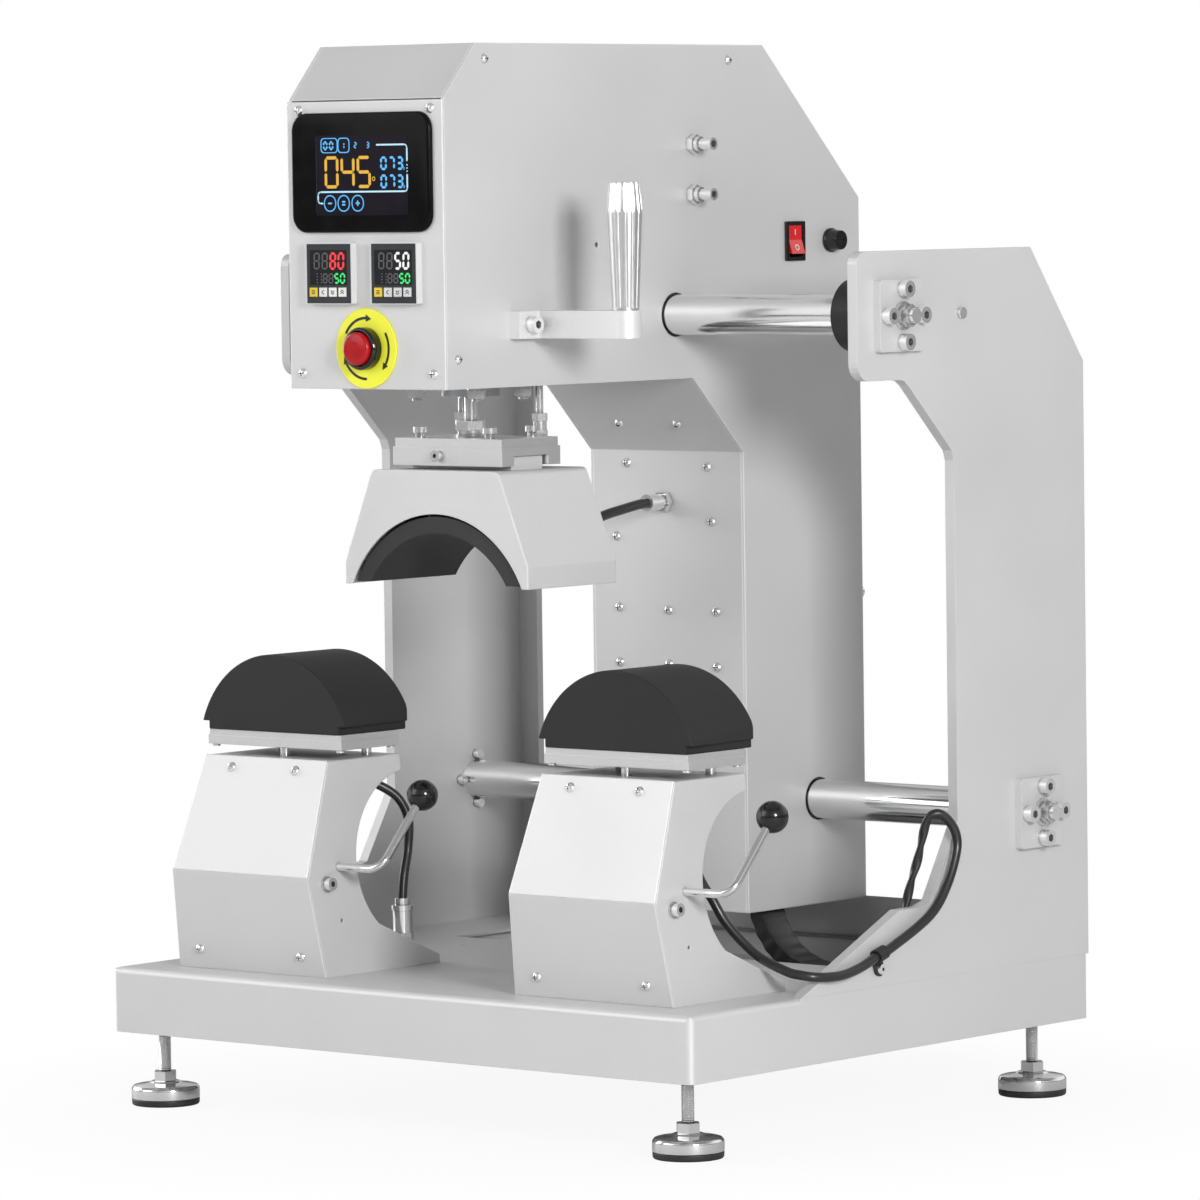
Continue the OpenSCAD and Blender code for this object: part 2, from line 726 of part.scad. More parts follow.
module knob() {
    translate([rod_out, pivot_y, pivot_z]) rotate([-arm_a, 0, 0])
        translate([0, 0, arm_l]) difference() {
            sphere(r = knob_d / 2, $fn = 64);
            translate([0, 0, -20]) cylinder(r = rod_d / 2 + 0.02, h = 14.1, $fn = 32);
        }
}
module lever_left() {
    color("lightgrey") shift() translate([-station_x, 0, 0]) lever();
}
module lever_right() {
    color("lightgrey") shift() translate([station_x, 0, 0]) lever();
}
module knob_left() {
    color("black") shift() translate([-station_x, 0, 0]) knob();
}
module knob_right() {
    color("black") shift() translate([station_x, 0, 0]) knob();
}

// ---- levelling feet ----
module foot(p) {
    r = foot_d / 2;
    color("silver") shift() translate([p[0], p[1], 0]) {
        // rubber pad, dished cup, lock nut and stud
        cylinder(r = r - 0.5, h = 6, $fn = 64);
        translate([0, 0, 6]) cylinder(r = r, h = 7, $fn = 64);
        translate([0, 0, 13]) cylinder(r1 = r - 1, r2 = 12, h = 6, $fn = 64);
        translate([0, 0, 19]) cylinder(r = 9.8, h = 8, $fn = 6);
        translate([0, 0, 26]) cylinder(r = 5, h = foot_h - 26 + 22, $fn = 32);
    }
}
module foot_front_left() {
    foot(foot_spots[0]);
}
module foot_front_right() {
    foot(foot_spots[1]);
}
module foot_back_left() {
    foot(foot_spots[2]);
}
module foot_back_right() {
    foot(foot_spots[3]);
}

// ---- carriage ----
module head_outline() {
    polygon([[front_y + thin, head_bot], [front_y + thin, bend_z + 1], [slope_y, head_top],
        [rear_y, head_top], [back_y, back_z], [back_y, col_bot], [col_y, col_bot],
        [col_y, col_z], [neck_y, head_bot]]);
}
module panel_holes() {
    for (c = [[upper_y, upper_z], [lower_y, lower_z]])
        cyl_x(shaft_d / 2 + 1.6, -hw - 1, hw + 1, c[0], c[1], 64);
    for (p = side_spots) cyl_x(M4 + 0.1, -hw - 1, hw + 1, p[0], p[1], 20);
}
module panel_flange() {
    // inner lip that the front panel screws to
    box(in_w - 14, in_w, front_y + thin, front_y + 2 * thin, head_bot + 10, bend_z - 2);
}
module side_panel_left() {
    color("silver") shift() difference() {
        union() {
            yz(-hw, -in_w) head_outline();
            mirror([1, 0, 0]) panel_flange();
        }
        panel_holes();
        for (p = panel_spots) cyl_y(M4 + 0.1, -20, 0, p[0], p[1], 20);
    }
}
module side_panel_right() {
    color("silver") shift() difference() {
        union() {
            yz(in_w, hw) head_outline();
            panel_flange();
        }
        panel_holes();
        for (p = panel_spots) cyl_y(M4 + 0.1, -20, 0, p[0], p[1], 20);
        cyl_x(2.1, in_w - 1, hw + 1, 165.5, head_bot + 108, 20);
        // cut-outs for the rocker switch, fuse holder, air fittings and handle
        yz(in_w - 1, hw + 1) translate([rock_y, rock_z]) square([20, 28.4], center = true);
        cyl_x(7, in_w - 1, hw + 1, fuse_y, rock_z);
        for (z = fit_z) cyl_x(5.1, in_w - 1, hw + 1, fit_y, z, 24);
        cyl_x(M8 + 0.1, in_w - 1, hw + 1, bolt_y, bolt_z, 24);
    }
}
module head_cover() {
    // sloped brow, top, rear slope and back in one wrap
    color("silver") shift() difference() {
        yz(-in_w, in_w) polygon([[front_y + thin, bend_z + 1], [slope_y, head_top],
            [rear_y, head_top], [back_y, back_z], [back_y, col_bot], [back_y - 2, col_bot],
            [back_y - 2, back_z - 0.8], [rear_y - 0.8, head_top - 2], [slope_y + 0.9,
            head_top - 2], [front_y + thin + 2, bend_z]]);
        cyl_y(6.2, back_y - 10, back_y + 1, gland_x, gland_z, 32);
    }
    // lips that take the side screws
    color("silver") shift() for (s = [-1, 1], i = [0, 1]) scale([s, 1, 1]) difference() {
        box(in_w - 10, in_w, side_spots[i][0] - 8, side_spots[i][0] + 8, head_top - 19,
            head_top - 1);
        cyl_x(M4 + 0.1, in_w - 12, in_w + 1, side_spots[i][0], side_spots[i][1], 20);
    }
}
module front_panel() {
    color("gainsboro") shift() difference() {
        xz(front_y, front_y + thin) translate([0, (head_bot + bend_z) / 2])
            square([head_w, bend_z - head_bot], center = true);
        for (p = panel_spots) cyl_y(M4 + 0.1, front_y - 1, front_y + 3, p[0], p[1], 20);
        xz(front_y - 1, front_y + 3) {
            translate([disp_x, disp_z]) square([118, 70], center = true);
            for (s = [-1, 1]) translate([s * ctrl_x, ctrl_z]) square(45, center = true);
        }
        cyl_y(11.3, front_y - 1, front_y + 3, 0, stop_z);
    }
}
// Places children on the sloping neck at x, +Z out of it
module on_neck(x) {
    translate([x, neck_y + 0.63 * (col_y - neck_y), head_bot - 0.63 * (head_bot - col_z)])
        rotate([90 + neck_tilt, 0, 0]) children();
}
module column_cover() {
    color("silver") shift() difference() {
        union() {
            yz(-in_w, in_w) polygon([[neck_y, head_bot], [col_y, col_z], [col_y, col_bot],
                [col_y + 2, col_bot], [col_y + 2, col_z + 0.8], [neck_y + 2.8, head_bot]]);
            box(-in_w, in_w, col_y + 2, col_y + 19.8, col_bot, col_bot + 2);
            // bracket of the cable chain
            box(40, in_w, col_y + 18.8, col_y + 64.8, chain_z, chain_z + 3);
            box(40, in_w, col_y + 18.8, col_y + 21.8, col_bot + 2, chain_z + 3);
        }
        for (p = column_spots) cyl_y(M4 + 0.1, col_y - 1, col_y + 4, p[0], p[1], 20);
        for (x = neck_spots) on_neck(x) cylinder(r = M4 + 0.1, h = 20, center = true, $fn = 20);
        cyl_y(7.2, col_y - 1, col_y + 4, lead_x, lead_z);
    }
}
module nut_holes(r, z0, z1) {
    for (x = [-1, 1], y = [-1, 1])
        cyl_z(r, z0, z1, x * nut_x, axis_y + y * nut_dy, 24);
}
module head_plate() {
    color("silver") shift() difference() {
        box(-in_w, in_w, front_y + thin, neck_y - 1, head_bot, head_bot + 10);
        cyl_z(15.2, head_bot - 1, head_bot + 11, 0, axis_y, 48);
        nut_holes(M8 + 0.1, head_bot - 1, head_bot + 11);
        for (s = [-1, 1])
            cyl_z(guide_r + 0.04, head_bot - 1, head_bot + 11, s * guide_x, guide_y);
    }
}
module slide_bearings() {
    color("dimgray") shift() for (c = [[upper_y, upper_z], [lower_y, lower_z]]) difference() {
        union() {
            cyl_x(23, -in_w, in_w, c[0], c[1], 64);
            box(-in_w, in_w, c[0] - 14, c[0] + 14, c[1] - 26, c[1]);
        }
        cyl_x(shaft_d / 2 + 0.04, -hw, hw, c[0], c[1], 64);
    }
}

// ---- controls ----
module touch_display() {
    color("black") shift() {
        xz(front_y - 4.2, front_y) translate([disp_x, disp_z]) rrect(disp_w, disp_h, 14);
        xz(front_y, 10) translate([disp_x, disp_z]) square([116, 68], center = true);
    }
}
module key_shape(x) {
    xz(front_y - ctrl_out - 0.8, front_y - 3.9) translate([x, key_z])
        square([key_w, key_h], center = true);
}
function key_x(i) = (i - 1.5) * key_dx;
module controllers() {
    color("dimgray") shift() for (s = [-1, 1]) difference() {
        union() {
            xz(front_y - ctrl_out, front_y) translate([s * ctrl_x, ctrl_z])
                rrect(ctrl_s, ctrl_s, 2);
            xz(front_y, 52) translate([s * ctrl_x, ctrl_z]) square(44.6, center = true);
        }
        for (i = [0:3]) xz(front_y - ctrl_out - 1, front_y - 3.2)
            translate([s * ctrl_x + key_x(i), key_z])
                square([key_w + 0.5, key_h + 0.5], center = true);
    }
}
module key_at(s, i) {
    color(i == 0 ? "gold" : "white") shift() key_shape(s * ctrl_x + key_x(i));
}
module key_l1() {
    key_at(-1, 0);
}
module key_l2() {
    key_at(-1, 1);
}
module key_l3() {
    key_at(-1, 2);
}
module key_l4() {
    key_at(-1, 3);
}
module key_r1() {
    key_at(1, 0);
}
module key_r2() {
    key_at(1, 1);
}
module key_r3() {
    key_at(1, 2);
}
module key_r4() {
    key_at(1, 3);
}
module estop_bezel() {
    // yellow ring plate, black collar, threaded barrel and contact block
    color("yellow") shift() difference() {
        union() {
            cyl_y(ring_d / 2, front_y - 1.5, front_y, 0, stop_z, 64);
            cyl_y(16.5, front_y - 11, front_y - 1.5, 0, stop_z, 48);
            cyl_y(11.2, front_y - 1.5, 14, 0, stop_z);
            cyl_y(15, front_y + thin, front_y + thin + 4, 0, stop_z, 6);
            box(-14, 14, 14, 44, stop_z - 18, stop_z + 18);
        }
        cyl_y(stop_d / 2 + 0.7, front_y - 12, front_y - 3.5, 0, stop_z, 48);
        cyl_y(7.05, front_y - 5, 13, 0, stop_z);
    }
}
module estop_button() {
    color("red") shift() {
        cyl_y(stop_d / 2, front_y - button_out, front_y - 8, 0, stop_z, 48);
        cyl_y(7, front_y - 8, 5, 0, stop_z);
    }
}
module switch_frame() {
    // black frame of the rocker switch and the fuse holder beside it
    color("black") shift() {
        difference() {
            union() {
                yz(hw, hw + 2.2) translate([rock_y, rock_z]) rrect(24.5, 32, 1);
                yz(hw - 24, hw) translate([rock_y, rock_z]) square([19.6, 28], center = true);
            }
            yz(hw - 18, hw + 3) translate([rock_y, rock_z]) square([17.6, 26], center = true);
            cyl_y(1.55, rock_y - 9.4, rock_y + 9.4, rock_x, rock_z, 24);
        }
        difference() {
            union() {
                cyl_x(9.8, hw, hw + 2.5, fuse_y, rock_z, 48);
                translate([hw + 2.5, fuse_y, rock_z]) rotate([0, 90, 0])
                    cylinder(r1 = 9, r2 = 7.8, h = 9.5, $fn = 40);
            }
            box(hw + 10.5, hw + 13, fuse_y - 5, fuse_y + 5, rock_z - 0.8, rock_z + 0.8);
        }
        cyl_x(6.6, hw - 38, hw, fuse_y, rock_z);
    }
}
module rocker_switch() {
    v = 11.6 * tan(rock_tilt);
    color("red") shift() translate([rock_x, 0, rock_z]) rotate([0, -rock_tilt, 0]) {
        xz(rock_y - 8.4, rock_y + 8.4) polygon([[-4, -8], [-4, 8], [5.5 + v, 11.6], [5.5, 0],
            [5.5 + v, -11.6]]);
        cyl_y(1.5, rock_y - 9.2, rock_y + 9.2, 0, 0, 24);
    }
}
module air_fittings() {
    // two push-in fittings, the column connector and the supply gland at the back
    color("silver") shift() difference() {
        fitting_bodies();
        for (z = fit_z) cyl_x(hose_r, hw + 11, hw + 24, fit_y, z, 24);
        cyl_y(gland_r, back_y + 3, back_y + gland_out + 1, gland_x, gland_z, 24);
    }
}
module fitting_bodies() {
    for (z = fit_z) {
        cyl_x(5, in_w - 8, hw, fit_y, z, 24);
        cyl_x(8, hw, hw + 6, fit_y, z, 6);
        cyl_x(6, hw + 6, hw + 10, fit_y, z);
        cyl_x(4.4, hw + 10, hw + 14, fit_y, z, 24);
        cyl_x(5, hw + 14, hw + 23, fit_y, z, 24);
    }
    cyl_y(7, col_y - 4, col_y + 12, lead_x, lead_z);
    cyl_y(9, col_y - 6, col_y, lead_x, lead_z, 6);
    cyl_y(6.3, col_y - 18, col_y - 6, lead_x, lead_z);
    cyl_y(7, col_y - 24, col_y - 18, lead_x, lead_z);
    cyl_y(6, back_y - 8, back_y, gland_x, gland_z);
    cyl_y(8, back_y, back_y + 3, gland_x, gland_z);
    cyl_y(6.5, back_y + 3, back_y + gland_out, gland_x, gland_z);
}
module handle_bracket() {
    color("gainsboro") shift() difference() {
        union() {
            box(hw, hw + 10, 60, 83, arm_z0, arm_z1);
            box(hw, grip_x, 83, 2 * grip_y - 83, arm_z0, arm_z1);
            cyl_z(grip_y - 83, arm_z0, arm_z1, grip_x, grip_y, 48);
        }
        cyl_x(M8 + 0.1, hw - 1, hw + 11, bolt_y, bolt_z, 24);
        cyl_z(M8 + 0.1, arm_z0 - 1, arm_z1 + 1, grip_x, grip_y, 24);
    }
}
module handle_grip() {
    // grip that swells towards its top, with sixteen flutes
    color("gainsboro") shift() translate([grip_x, grip_y, 0]) {
        translate([0, 0, arm_z1]) difference() {
            rotate_extrude($fn = 64) polygon([[0, 0], [10.5, 0], [14, 76], [14, 78],
                [11.85, 97], [11.2, 98], [0, 98]]);
            for (a = [0:22.5:350]) rotate([0, 0, a]) {
                translate([11.4, 0, 2]) rotate([0, 2.64, 0])
                    cylinder(r = 1.6, h = 74, $fn = 20);
                translate([14.8, 0, 75.5]) rotate([0, -6.2, 0])
                    cylinder(r = 1.6, h = 24, $fn = 20);
            }
        }
        cyl_z(M8, arm_z0, arm_z1, 0, 0, 24);
    }
}
module carriage_screws() {
    color("silver") shift() {
        for (p = panel_spots) translate([p[0], front_y, p[1]]) rotate([90, 0, 0])
            dome_screw(5);
        for (s = [-1, 1], p = side_spots) scale([s, 1, 1]) translate([hw, p[0], p[1]])
            rotate([0, 90, 0]) dome_screw(8);
        for (p = column_spots) translate([p[0], col_y, p[1]]) rotate([90, 0, 0])
            dome_screw(5);
        for (x = neck_spots) on_neck(x) dome_screw(5);
        // handle screw
        difference() {
            screw_x(hw + 10, bolt_y, bolt_z, M8, 6.5, 8, 14);
            cyl_x(3.4, hw + 14, hw + 19, bolt_y, bolt_z, 6);
        }
        // cylinder screws with their washers and nuts under the head
        nut_holes(M8, head_bot - 12, head_bot + 30);
        nut_holes(8, head_bot - 3, head_bot);
        for (x = [-1, 1], y = [-1, 1])
            cyl_z(7.5, head_bot - 10, head_bot - 3, x * nut_x, axis_y + y * nut_dy, 6);
    }
}
module air_cylinder() {
    color("dimgray") shift() difference() {
        union() {
            box(-cyl_side / 2, cyl_side / 2, axis_y - cyl_side / 2, axis_y + cyl_side / 2,
                head_bot + 10, head_bot + stroke + 91);
            cyl_z(15, head_bot - 1, head_bot + 10, 0, axis_y, 48);
            cyl_z(23.5, head_bot - 9, head_bot, 0, axis_y, 48);
        }
        cyl_z(30, head_bot + 25, head_bot + stroke + 79, 0, axis_y, 64);
        cyl_z(rod_r + 0.04, head_bot - 10, head_bot + 30, 0, axis_y, 48);
        nut_holes(M8 + 0.1, head_bot - 10, head_bot + 31);
    }
}
module control_unit() {
    // valve behind the air fittings, and the circuit board on its posts
    color("seagreen") shift() {
        difference() {
            box(36, in_w - 8, fit_y - 22, fit_y + 22, fit_z[0] - 22, fit_z[1] + 22);
            for (z = fit_z) cyl_x(2.5, in_w - 20, in_w - 7, fit_y, z, 20);
        }
        box(in_w - 8, in_w, fit_y + 12, fit_y + 20, fit_z[0] - 16, fit_z[1] + 16);
        box(-55, 55, board_y, board_y + 2, board_z - 40, board_z + 120);
        for (x = [-48, 48], z = [-32, 112])
            cyl_y(3, board_y + 2, back_y - 2, x, board_z + z, 20);
        box(-40, 0, board_y - 28, board_y, board_z + 20, board_z + 80);
        box(10, 42, board_y - 20, board_y, board_z + 40, board_z + 100);
        box(-30, 30, board_y - 12, board_y, board_z - 24, board_z);
    }
}
module drag_chain() {
    color("black") shift() xz(chain_y0, chain_y1) polygon(concat(
        arc(chain_x, chain_z, chain_r1, 180, 270, 12), [[chain_end, chain_z - chain_r1]],
        [[chain_end, chain_z - chain_r0]], arc(chain_x, chain_z, chain_r0, 270, 180, 12)));
    // end link screwed to the trough floor
    color("black") shift()
        box(chain_end - 6, chain_end, chain_y0, chain_y1, trough_floor, trough_floor + 0.3);
}
module hot_lead() {
    color("black") shift() tube(smooth(hot_path), hot_lead_d, 10, [1, 0, 0],
        [0, -1, 0], [0, -1, 0]);
}

// ---- press unit ----
module press_rods() {
    color("gainsboro") shift() {
        // piston, its rod, lock nut and washers
        cyl_z(rod_r, plate_zt, head_bot + stroke + 76, 0, axis_y, 48);
        cyl_z(29.95, head_bot + stroke + 56, head_bot + stroke + 76, 0, axis_y, 64);
        cyl_z(12, plate_zt, plate_zt + 2.5, 0, axis_y);
        cyl_z(11, plate_zt + 2.5, plate_zt + 5.5, 0, axis_y);
        cyl_z(12, plate_zt + 5.5, plate_zt + 13, 0, axis_y, 6);
        for (s = [-1, 1]) {
            cyl_z(guide_r, plate_zt - 7, head_bot + stroke + 21, s * guide_x, guide_y);
            cyl_z(6.5, plate_zt, plate_zt + 5, s * guide_x, guide_y, 6);
            cyl_z(5.5, plate_zt + 5, plate_zt + 12, s * guide_x, guide_y, 24);
            cyl_z(6.5, plate_zt + 12, plate_zt + 18, s * guide_x, guide_y, 6);
        }
        for (p = clamp_spots) {
            cyl_z(2.6, plate_zt - 12, plate_zt, p[0], p[1], 20);
            cyl_z(4, plate_zt, plate_zt + 4, p[0], p[1], 24);
            cyl_z(5.8, plate_zt + 4, plate_zt + 8.5, p[0], p[1], 24);
        }
        difference() {
            screw_y(75.5, hand_x, hand_z, 2.6, 4.6, 5, 12);
            cyl_y(2, 69, 73, hand_x, hand_z, 6);
        }
    }
}
module clamp_block() {
    // press plate over the grooved clamp block
    color("silver") shift() difference() {
        union() {
            box(-55, 55, 76.5, 144.5, plate_z, plate_zt);
            box(-56.5, 56.5, 75.5, 145.5, cov_z2 + 3, plate_z);
        }
        box(-60, 60, 90, 131, cov_z2 + 2, cov_z2 + 11);
        for (s = [-1, 1]) cyl_z(guide_r + 0.1, plate_z, plate_zt + 1, s * guide_x, guide_y);
        for (p = clamp_spots) cyl_z(2.7, plate_zt - 12.2, plate_zt + 1, p[0], p[1], 20);
        cyl_y(2.7, 75, 88, hand_x, hand_z, 20);
    }
}
module cover_outline(t) {
    cx = cov_top - cov_r * tan((90 - cov_lean) / 2);
    cz = cov_z2 - cov_r;
    polygon(concat([[-cov_low + t, cov_z0 - t], [-cov_low + t, cov_z1 - 0.2 * t]],
        arc(-cx, cz, cov_r - t, 180 - cov_lean, 90, 5), arc(cx, cz, cov_r - t, 90, cov_lean, 5),
        [[cov_low - t, cov_z1 - 0.2 * t], [cov_low - t, cov_z0 - t]]));
}
module hot_cover() {
    color("gainsboro") shift() difference() {
        union() {
            difference() {
                xz(cov_front, cov_back) cover_outline(0);
                xz(cov_front + thin, cov_back - thin) cover_outline(thin);
            }
            // tongue that slides into the clamp block
            box(-52, 52, 92, 129, cov_z2 - 1, cov_z2 + 10.7);
        }
        cyl_y(arch_r, cov_front - 1, cov_back + 1, 0, arch_z, 96);
        cyl_y(hot_lead_d / 2 + 0.9, cov_back - thin - 1, cov_back + 1, lead_x, cov_z2 - 17);
    }
}
module hot_platen() {
    color("black") shift() {
        xz(cov_front + 2.3, cov_back - 2.3) difference() {
            intersection() {
                translate([0, arch_z]) circle(r = hot_out, $fn = 96);
                translate([-100, cov_z0 + 2]) square([200, 100]);
            }
            translate([0, arch_z]) circle(r = hot_in, $fn = 96);
        }
        for (x = [-38, 38], y = [82, 144])
            box(x - 6, x + 6, y - 6, y + 6, arch_z + 86.5, cov_z2 - thin);
    }
}

// ---- assembly ----
base_tray();
side_plate_left();
side_plate_right();
rear_trough();
slide_shafts();
shaft_end_plates();
shaft_bolts();
shaft_bumpers();
cable_clip();
lead_fittings();
right_lead();
left_lead();
station_body_left();
station_body_right();
station_covers();
station_screws();
platen_bases();
platen_posts();
silicone_pads();
lever_left();
lever_right();
knob_left();
knob_right();
foot_front_left();
foot_front_right();
foot_back_left();
foot_back_right();
side_panel_left();
side_panel_right();
head_cover();
front_panel();
column_cover();
head_plate();
slide_bearings();
touch_display();
controllers();
key_l1();
key_l2();
key_l3();
key_l4();
key_r1();
key_r2();
key_r3();
key_r4();
estop_bezel();
estop_button();
switch_frame();
rocker_switch();
air_fittings();
handle_bracket();
handle_grip();
carriage_screws();
air_cylinder();
control_unit();
drag_chain();
hot_lead();
press_rods();
clamp_block();
hot_cover();
hot_platen();
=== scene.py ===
"""Looks of the double-station cap heat press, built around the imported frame.

Lengths are metres in the row's frame: +Z up, +X to the right, the front faces -Y. Sizes that the
parametric source states in millimetres are written here in millimetres times MM. Depths of that
source count from the base's front face, so y() turns one of them into a place in the frame.
"""
import json
import math

import bmesh
import bpy
from mathutils import Matrix, Vector


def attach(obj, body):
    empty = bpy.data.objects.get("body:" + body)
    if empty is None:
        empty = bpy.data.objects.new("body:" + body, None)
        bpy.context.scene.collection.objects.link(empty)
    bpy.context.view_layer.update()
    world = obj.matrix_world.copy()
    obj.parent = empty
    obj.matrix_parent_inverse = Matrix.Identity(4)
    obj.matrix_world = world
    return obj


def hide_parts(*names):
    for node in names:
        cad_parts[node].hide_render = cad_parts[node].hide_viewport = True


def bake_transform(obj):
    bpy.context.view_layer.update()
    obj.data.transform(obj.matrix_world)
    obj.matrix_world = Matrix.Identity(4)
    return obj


MM = 0.001
Y_MID = 241.45

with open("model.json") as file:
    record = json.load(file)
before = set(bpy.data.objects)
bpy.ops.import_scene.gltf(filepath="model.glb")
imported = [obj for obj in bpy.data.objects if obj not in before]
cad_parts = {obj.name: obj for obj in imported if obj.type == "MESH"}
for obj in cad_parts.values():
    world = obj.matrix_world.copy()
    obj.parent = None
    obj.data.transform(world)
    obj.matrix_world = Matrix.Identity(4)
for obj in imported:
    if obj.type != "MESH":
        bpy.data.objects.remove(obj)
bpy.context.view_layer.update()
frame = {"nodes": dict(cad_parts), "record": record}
scene = bpy.context.scene
nodes = frame["nodes"]


def y(depth):
    """Frame Y of a depth in millimetres behind the base's front face."""
    return (depth - Y_MID) * MM


def at(px, depth, height):
    """A point from the source's millimetres."""
    return Vector((px * MM, y(depth), height * MM))


# ---------------------------------------------------------------- camera

CAMERA_PLACE = at(3595.4, -4023.0, 743.9)
CAMERA_YAW = math.radians(40.02)
CAMERA_PITCH = math.radians(3.50)
CAMERA_ROLL = math.radians(-0.782)
FOCAL_PX = 6977.5
FRAME_PX = 1200
SENSOR_MM = 36.0


def make_camera():
    """Camera fitted to the photograph's edges."""
    ahead = Vector((-math.sin(CAMERA_YAW) * math.cos(CAMERA_PITCH),
                    math.cos(CAMERA_YAW) * math.cos(CAMERA_PITCH), -math.sin(CAMERA_PITCH)))
    level = Vector((math.cos(CAMERA_YAW), math.sin(CAMERA_YAW), 0))
    above = level.cross(ahead)
    right = level * math.cos(CAMERA_ROLL) + above * math.sin(CAMERA_ROLL)
    up = above * math.cos(CAMERA_ROLL) - level * math.sin(CAMERA_ROLL)
    data = bpy.data.cameras.new("camera")
    data.sensor_width = SENSOR_MM
    data.lens = FOCAL_PX / FRAME_PX * SENSOR_MM
    data.clip_end = 50
    cam = bpy.data.objects.new("camera", data)
    scene.collection.objects.link(cam)
    turn = Matrix((right, up, -ahead)).transposed().to_4x4()
    cam.matrix_world = Matrix.Translation(CAMERA_PLACE) @ turn
    scene.camera = cam


make_camera()

# ---------------------------------------------------------------- node helpers

BUMP_DEPTH = 0.2 * MM


def new_material(name, color, rough, metal=0.0, **more):
    """A Principled material. Returns the material, its tree and the shader."""
    m = bpy.data.materials.new(name)
    m.use_nodes = True
    tree = m.node_tree
    shader = tree.nodes["Principled BSDF"]
    shader.inputs["Base Color"].default_value = (*color, 1)
    shader.inputs["Roughness"].default_value = rough
    shader.inputs["Metallic"].default_value = metal
    for socket, value in more.items():
        shader.inputs[socket.replace("_", " ")].default_value = value
    return m, tree, shader


def link(tree, a, b):
    tree.links.new(a, b)


def feed(tree, value, socket):
    """Gives a socket a number, a colour or another node's output."""
    if isinstance(value, bpy.types.NodeSocket):
        link(tree, value, socket)
    else:
        socket.default_value = value


def math_node(tree, operation, *values):
    """One step of arithmetic on sockets or numbers."""
    n = tree.nodes.new("ShaderNodeMath")
    n.operation = operation
    for socket, value in zip(n.inputs, values):
        feed(tree, value, socket)
    return n.outputs[0]


def mix_color(tree, share, a, b, blend="MIX"):
    """Colour a with a share of colour b over it."""
    n = tree.nodes.new("ShaderNodeMixRGB")
    n.blend_type = blend
    for socket, value in zip(n.inputs, (share, a, b)):
        feed(tree, value, socket)
    return n.outputs["Color"]


def coords(tree, scale=(1, 1, 1)):
    """Object coordinates, which are the row's own, scaled."""
    where = tree.nodes.new("ShaderNodeTexCoord")
    mapping = tree.nodes.new("ShaderNodeMapping")
    mapping.inputs["Scale"].default_value = scale
    link(tree, where.outputs["Object"], mapping.inputs["Vector"])
    return mapping.outputs["Vector"]


def noise(tree, vector, scale, detail):
    n = tree.nodes.new("ShaderNodeTexNoise")
    n.inputs["Scale"].default_value = scale
    n.inputs["Detail"].default_value = detail
    link(tree, vector, n.inputs["Vector"])
    return n.outputs["Fac"]


def span(tree, value, low, high, in_low=0.0, in_high=1.0):
    """Maps a value from one range to another."""
    r = tree.nodes.new("ShaderNodeMapRange")
    r.inputs["From Min"].default_value = in_low
    r.inputs["From Max"].default_value = in_high
    r.inputs["To Min"].default_value = low
    r.inputs["To Max"].default_value = high
    link(tree, value, r.inputs["Value"])
    return r.outputs["Result"]


def ramp(tree, value, stops):
    r = tree.nodes.new("ShaderNodeValToRGB")
    while len(r.color_ramp.elements) < len(stops):
        r.color_ramp.elements.new(0.5)
    for element, (place, color) in zip(r.color_ramp.elements, stops):
        element.position = place
        element.color = (*color, 1)
    link(tree, value, r.inputs["Fac"])
    return r.outputs["Color"]


def bump(tree, shader, height, strength, edge):
    """Bump from a height value, over edges rounded by the given radius in metres."""
    b = tree.nodes.new("ShaderNodeBump")
    b.inputs["Strength"].default_value = strength
    b.inputs["Distance"].default_value = BUMP_DEPTH
    link(tree, height, b.inputs["Height"])
    if edge:
        link(tree, rounded(tree, edge), b.inputs["Normal"])
    link(tree, b.outputs["Normal"], shader.inputs["Normal"])


def rounded(tree, radius):
    """Normal that rounds sharp edges."""
    bevel = tree.nodes.new("ShaderNodeBevel")
    bevel.samples = 4
    bevel.inputs["Radius"].default_value = radius
    return bevel.outputs["Normal"]


def highlight_on_edges(tree, radius, most):
    """Share of a painted highlight, which rises along the object's sharp edges."""
    flat = tree.nodes.new("ShaderNodeNewGeometry")
    turn = tree.nodes.new("ShaderNodeVectorMath")
    turn.operation = "DOT_PRODUCT"
    link(tree, flat.outputs["True Normal"], turn.inputs[0])
    link(tree, rounded(tree, radius), turn.inputs[1])
    return span(tree, turn.outputs["Value"], most, 0, 0.82, 0.995)


def shade_in_corners(tree, color, reach):
    """The metal's colour, darker where small parts meet and the light can't get in."""
    hollow = tree.nodes.new("ShaderNodeAmbientOcclusion")
    hollow.samples = 8
    hollow.inputs["Distance"].default_value = reach
    depth = span(tree, hollow.outputs["AO"], 0, 1, 0.35, 0.85)
    return ramp(tree, depth, [(0.0, shade_of(color, 0.3)), (1.0, shade_of(color, 1.0))])


def shade_of(color, factor):
    return tuple(min(1.0, c * factor) for c in color)


def grey(level):
    return level, level, level


# ---------------------------------------------------------------- materials


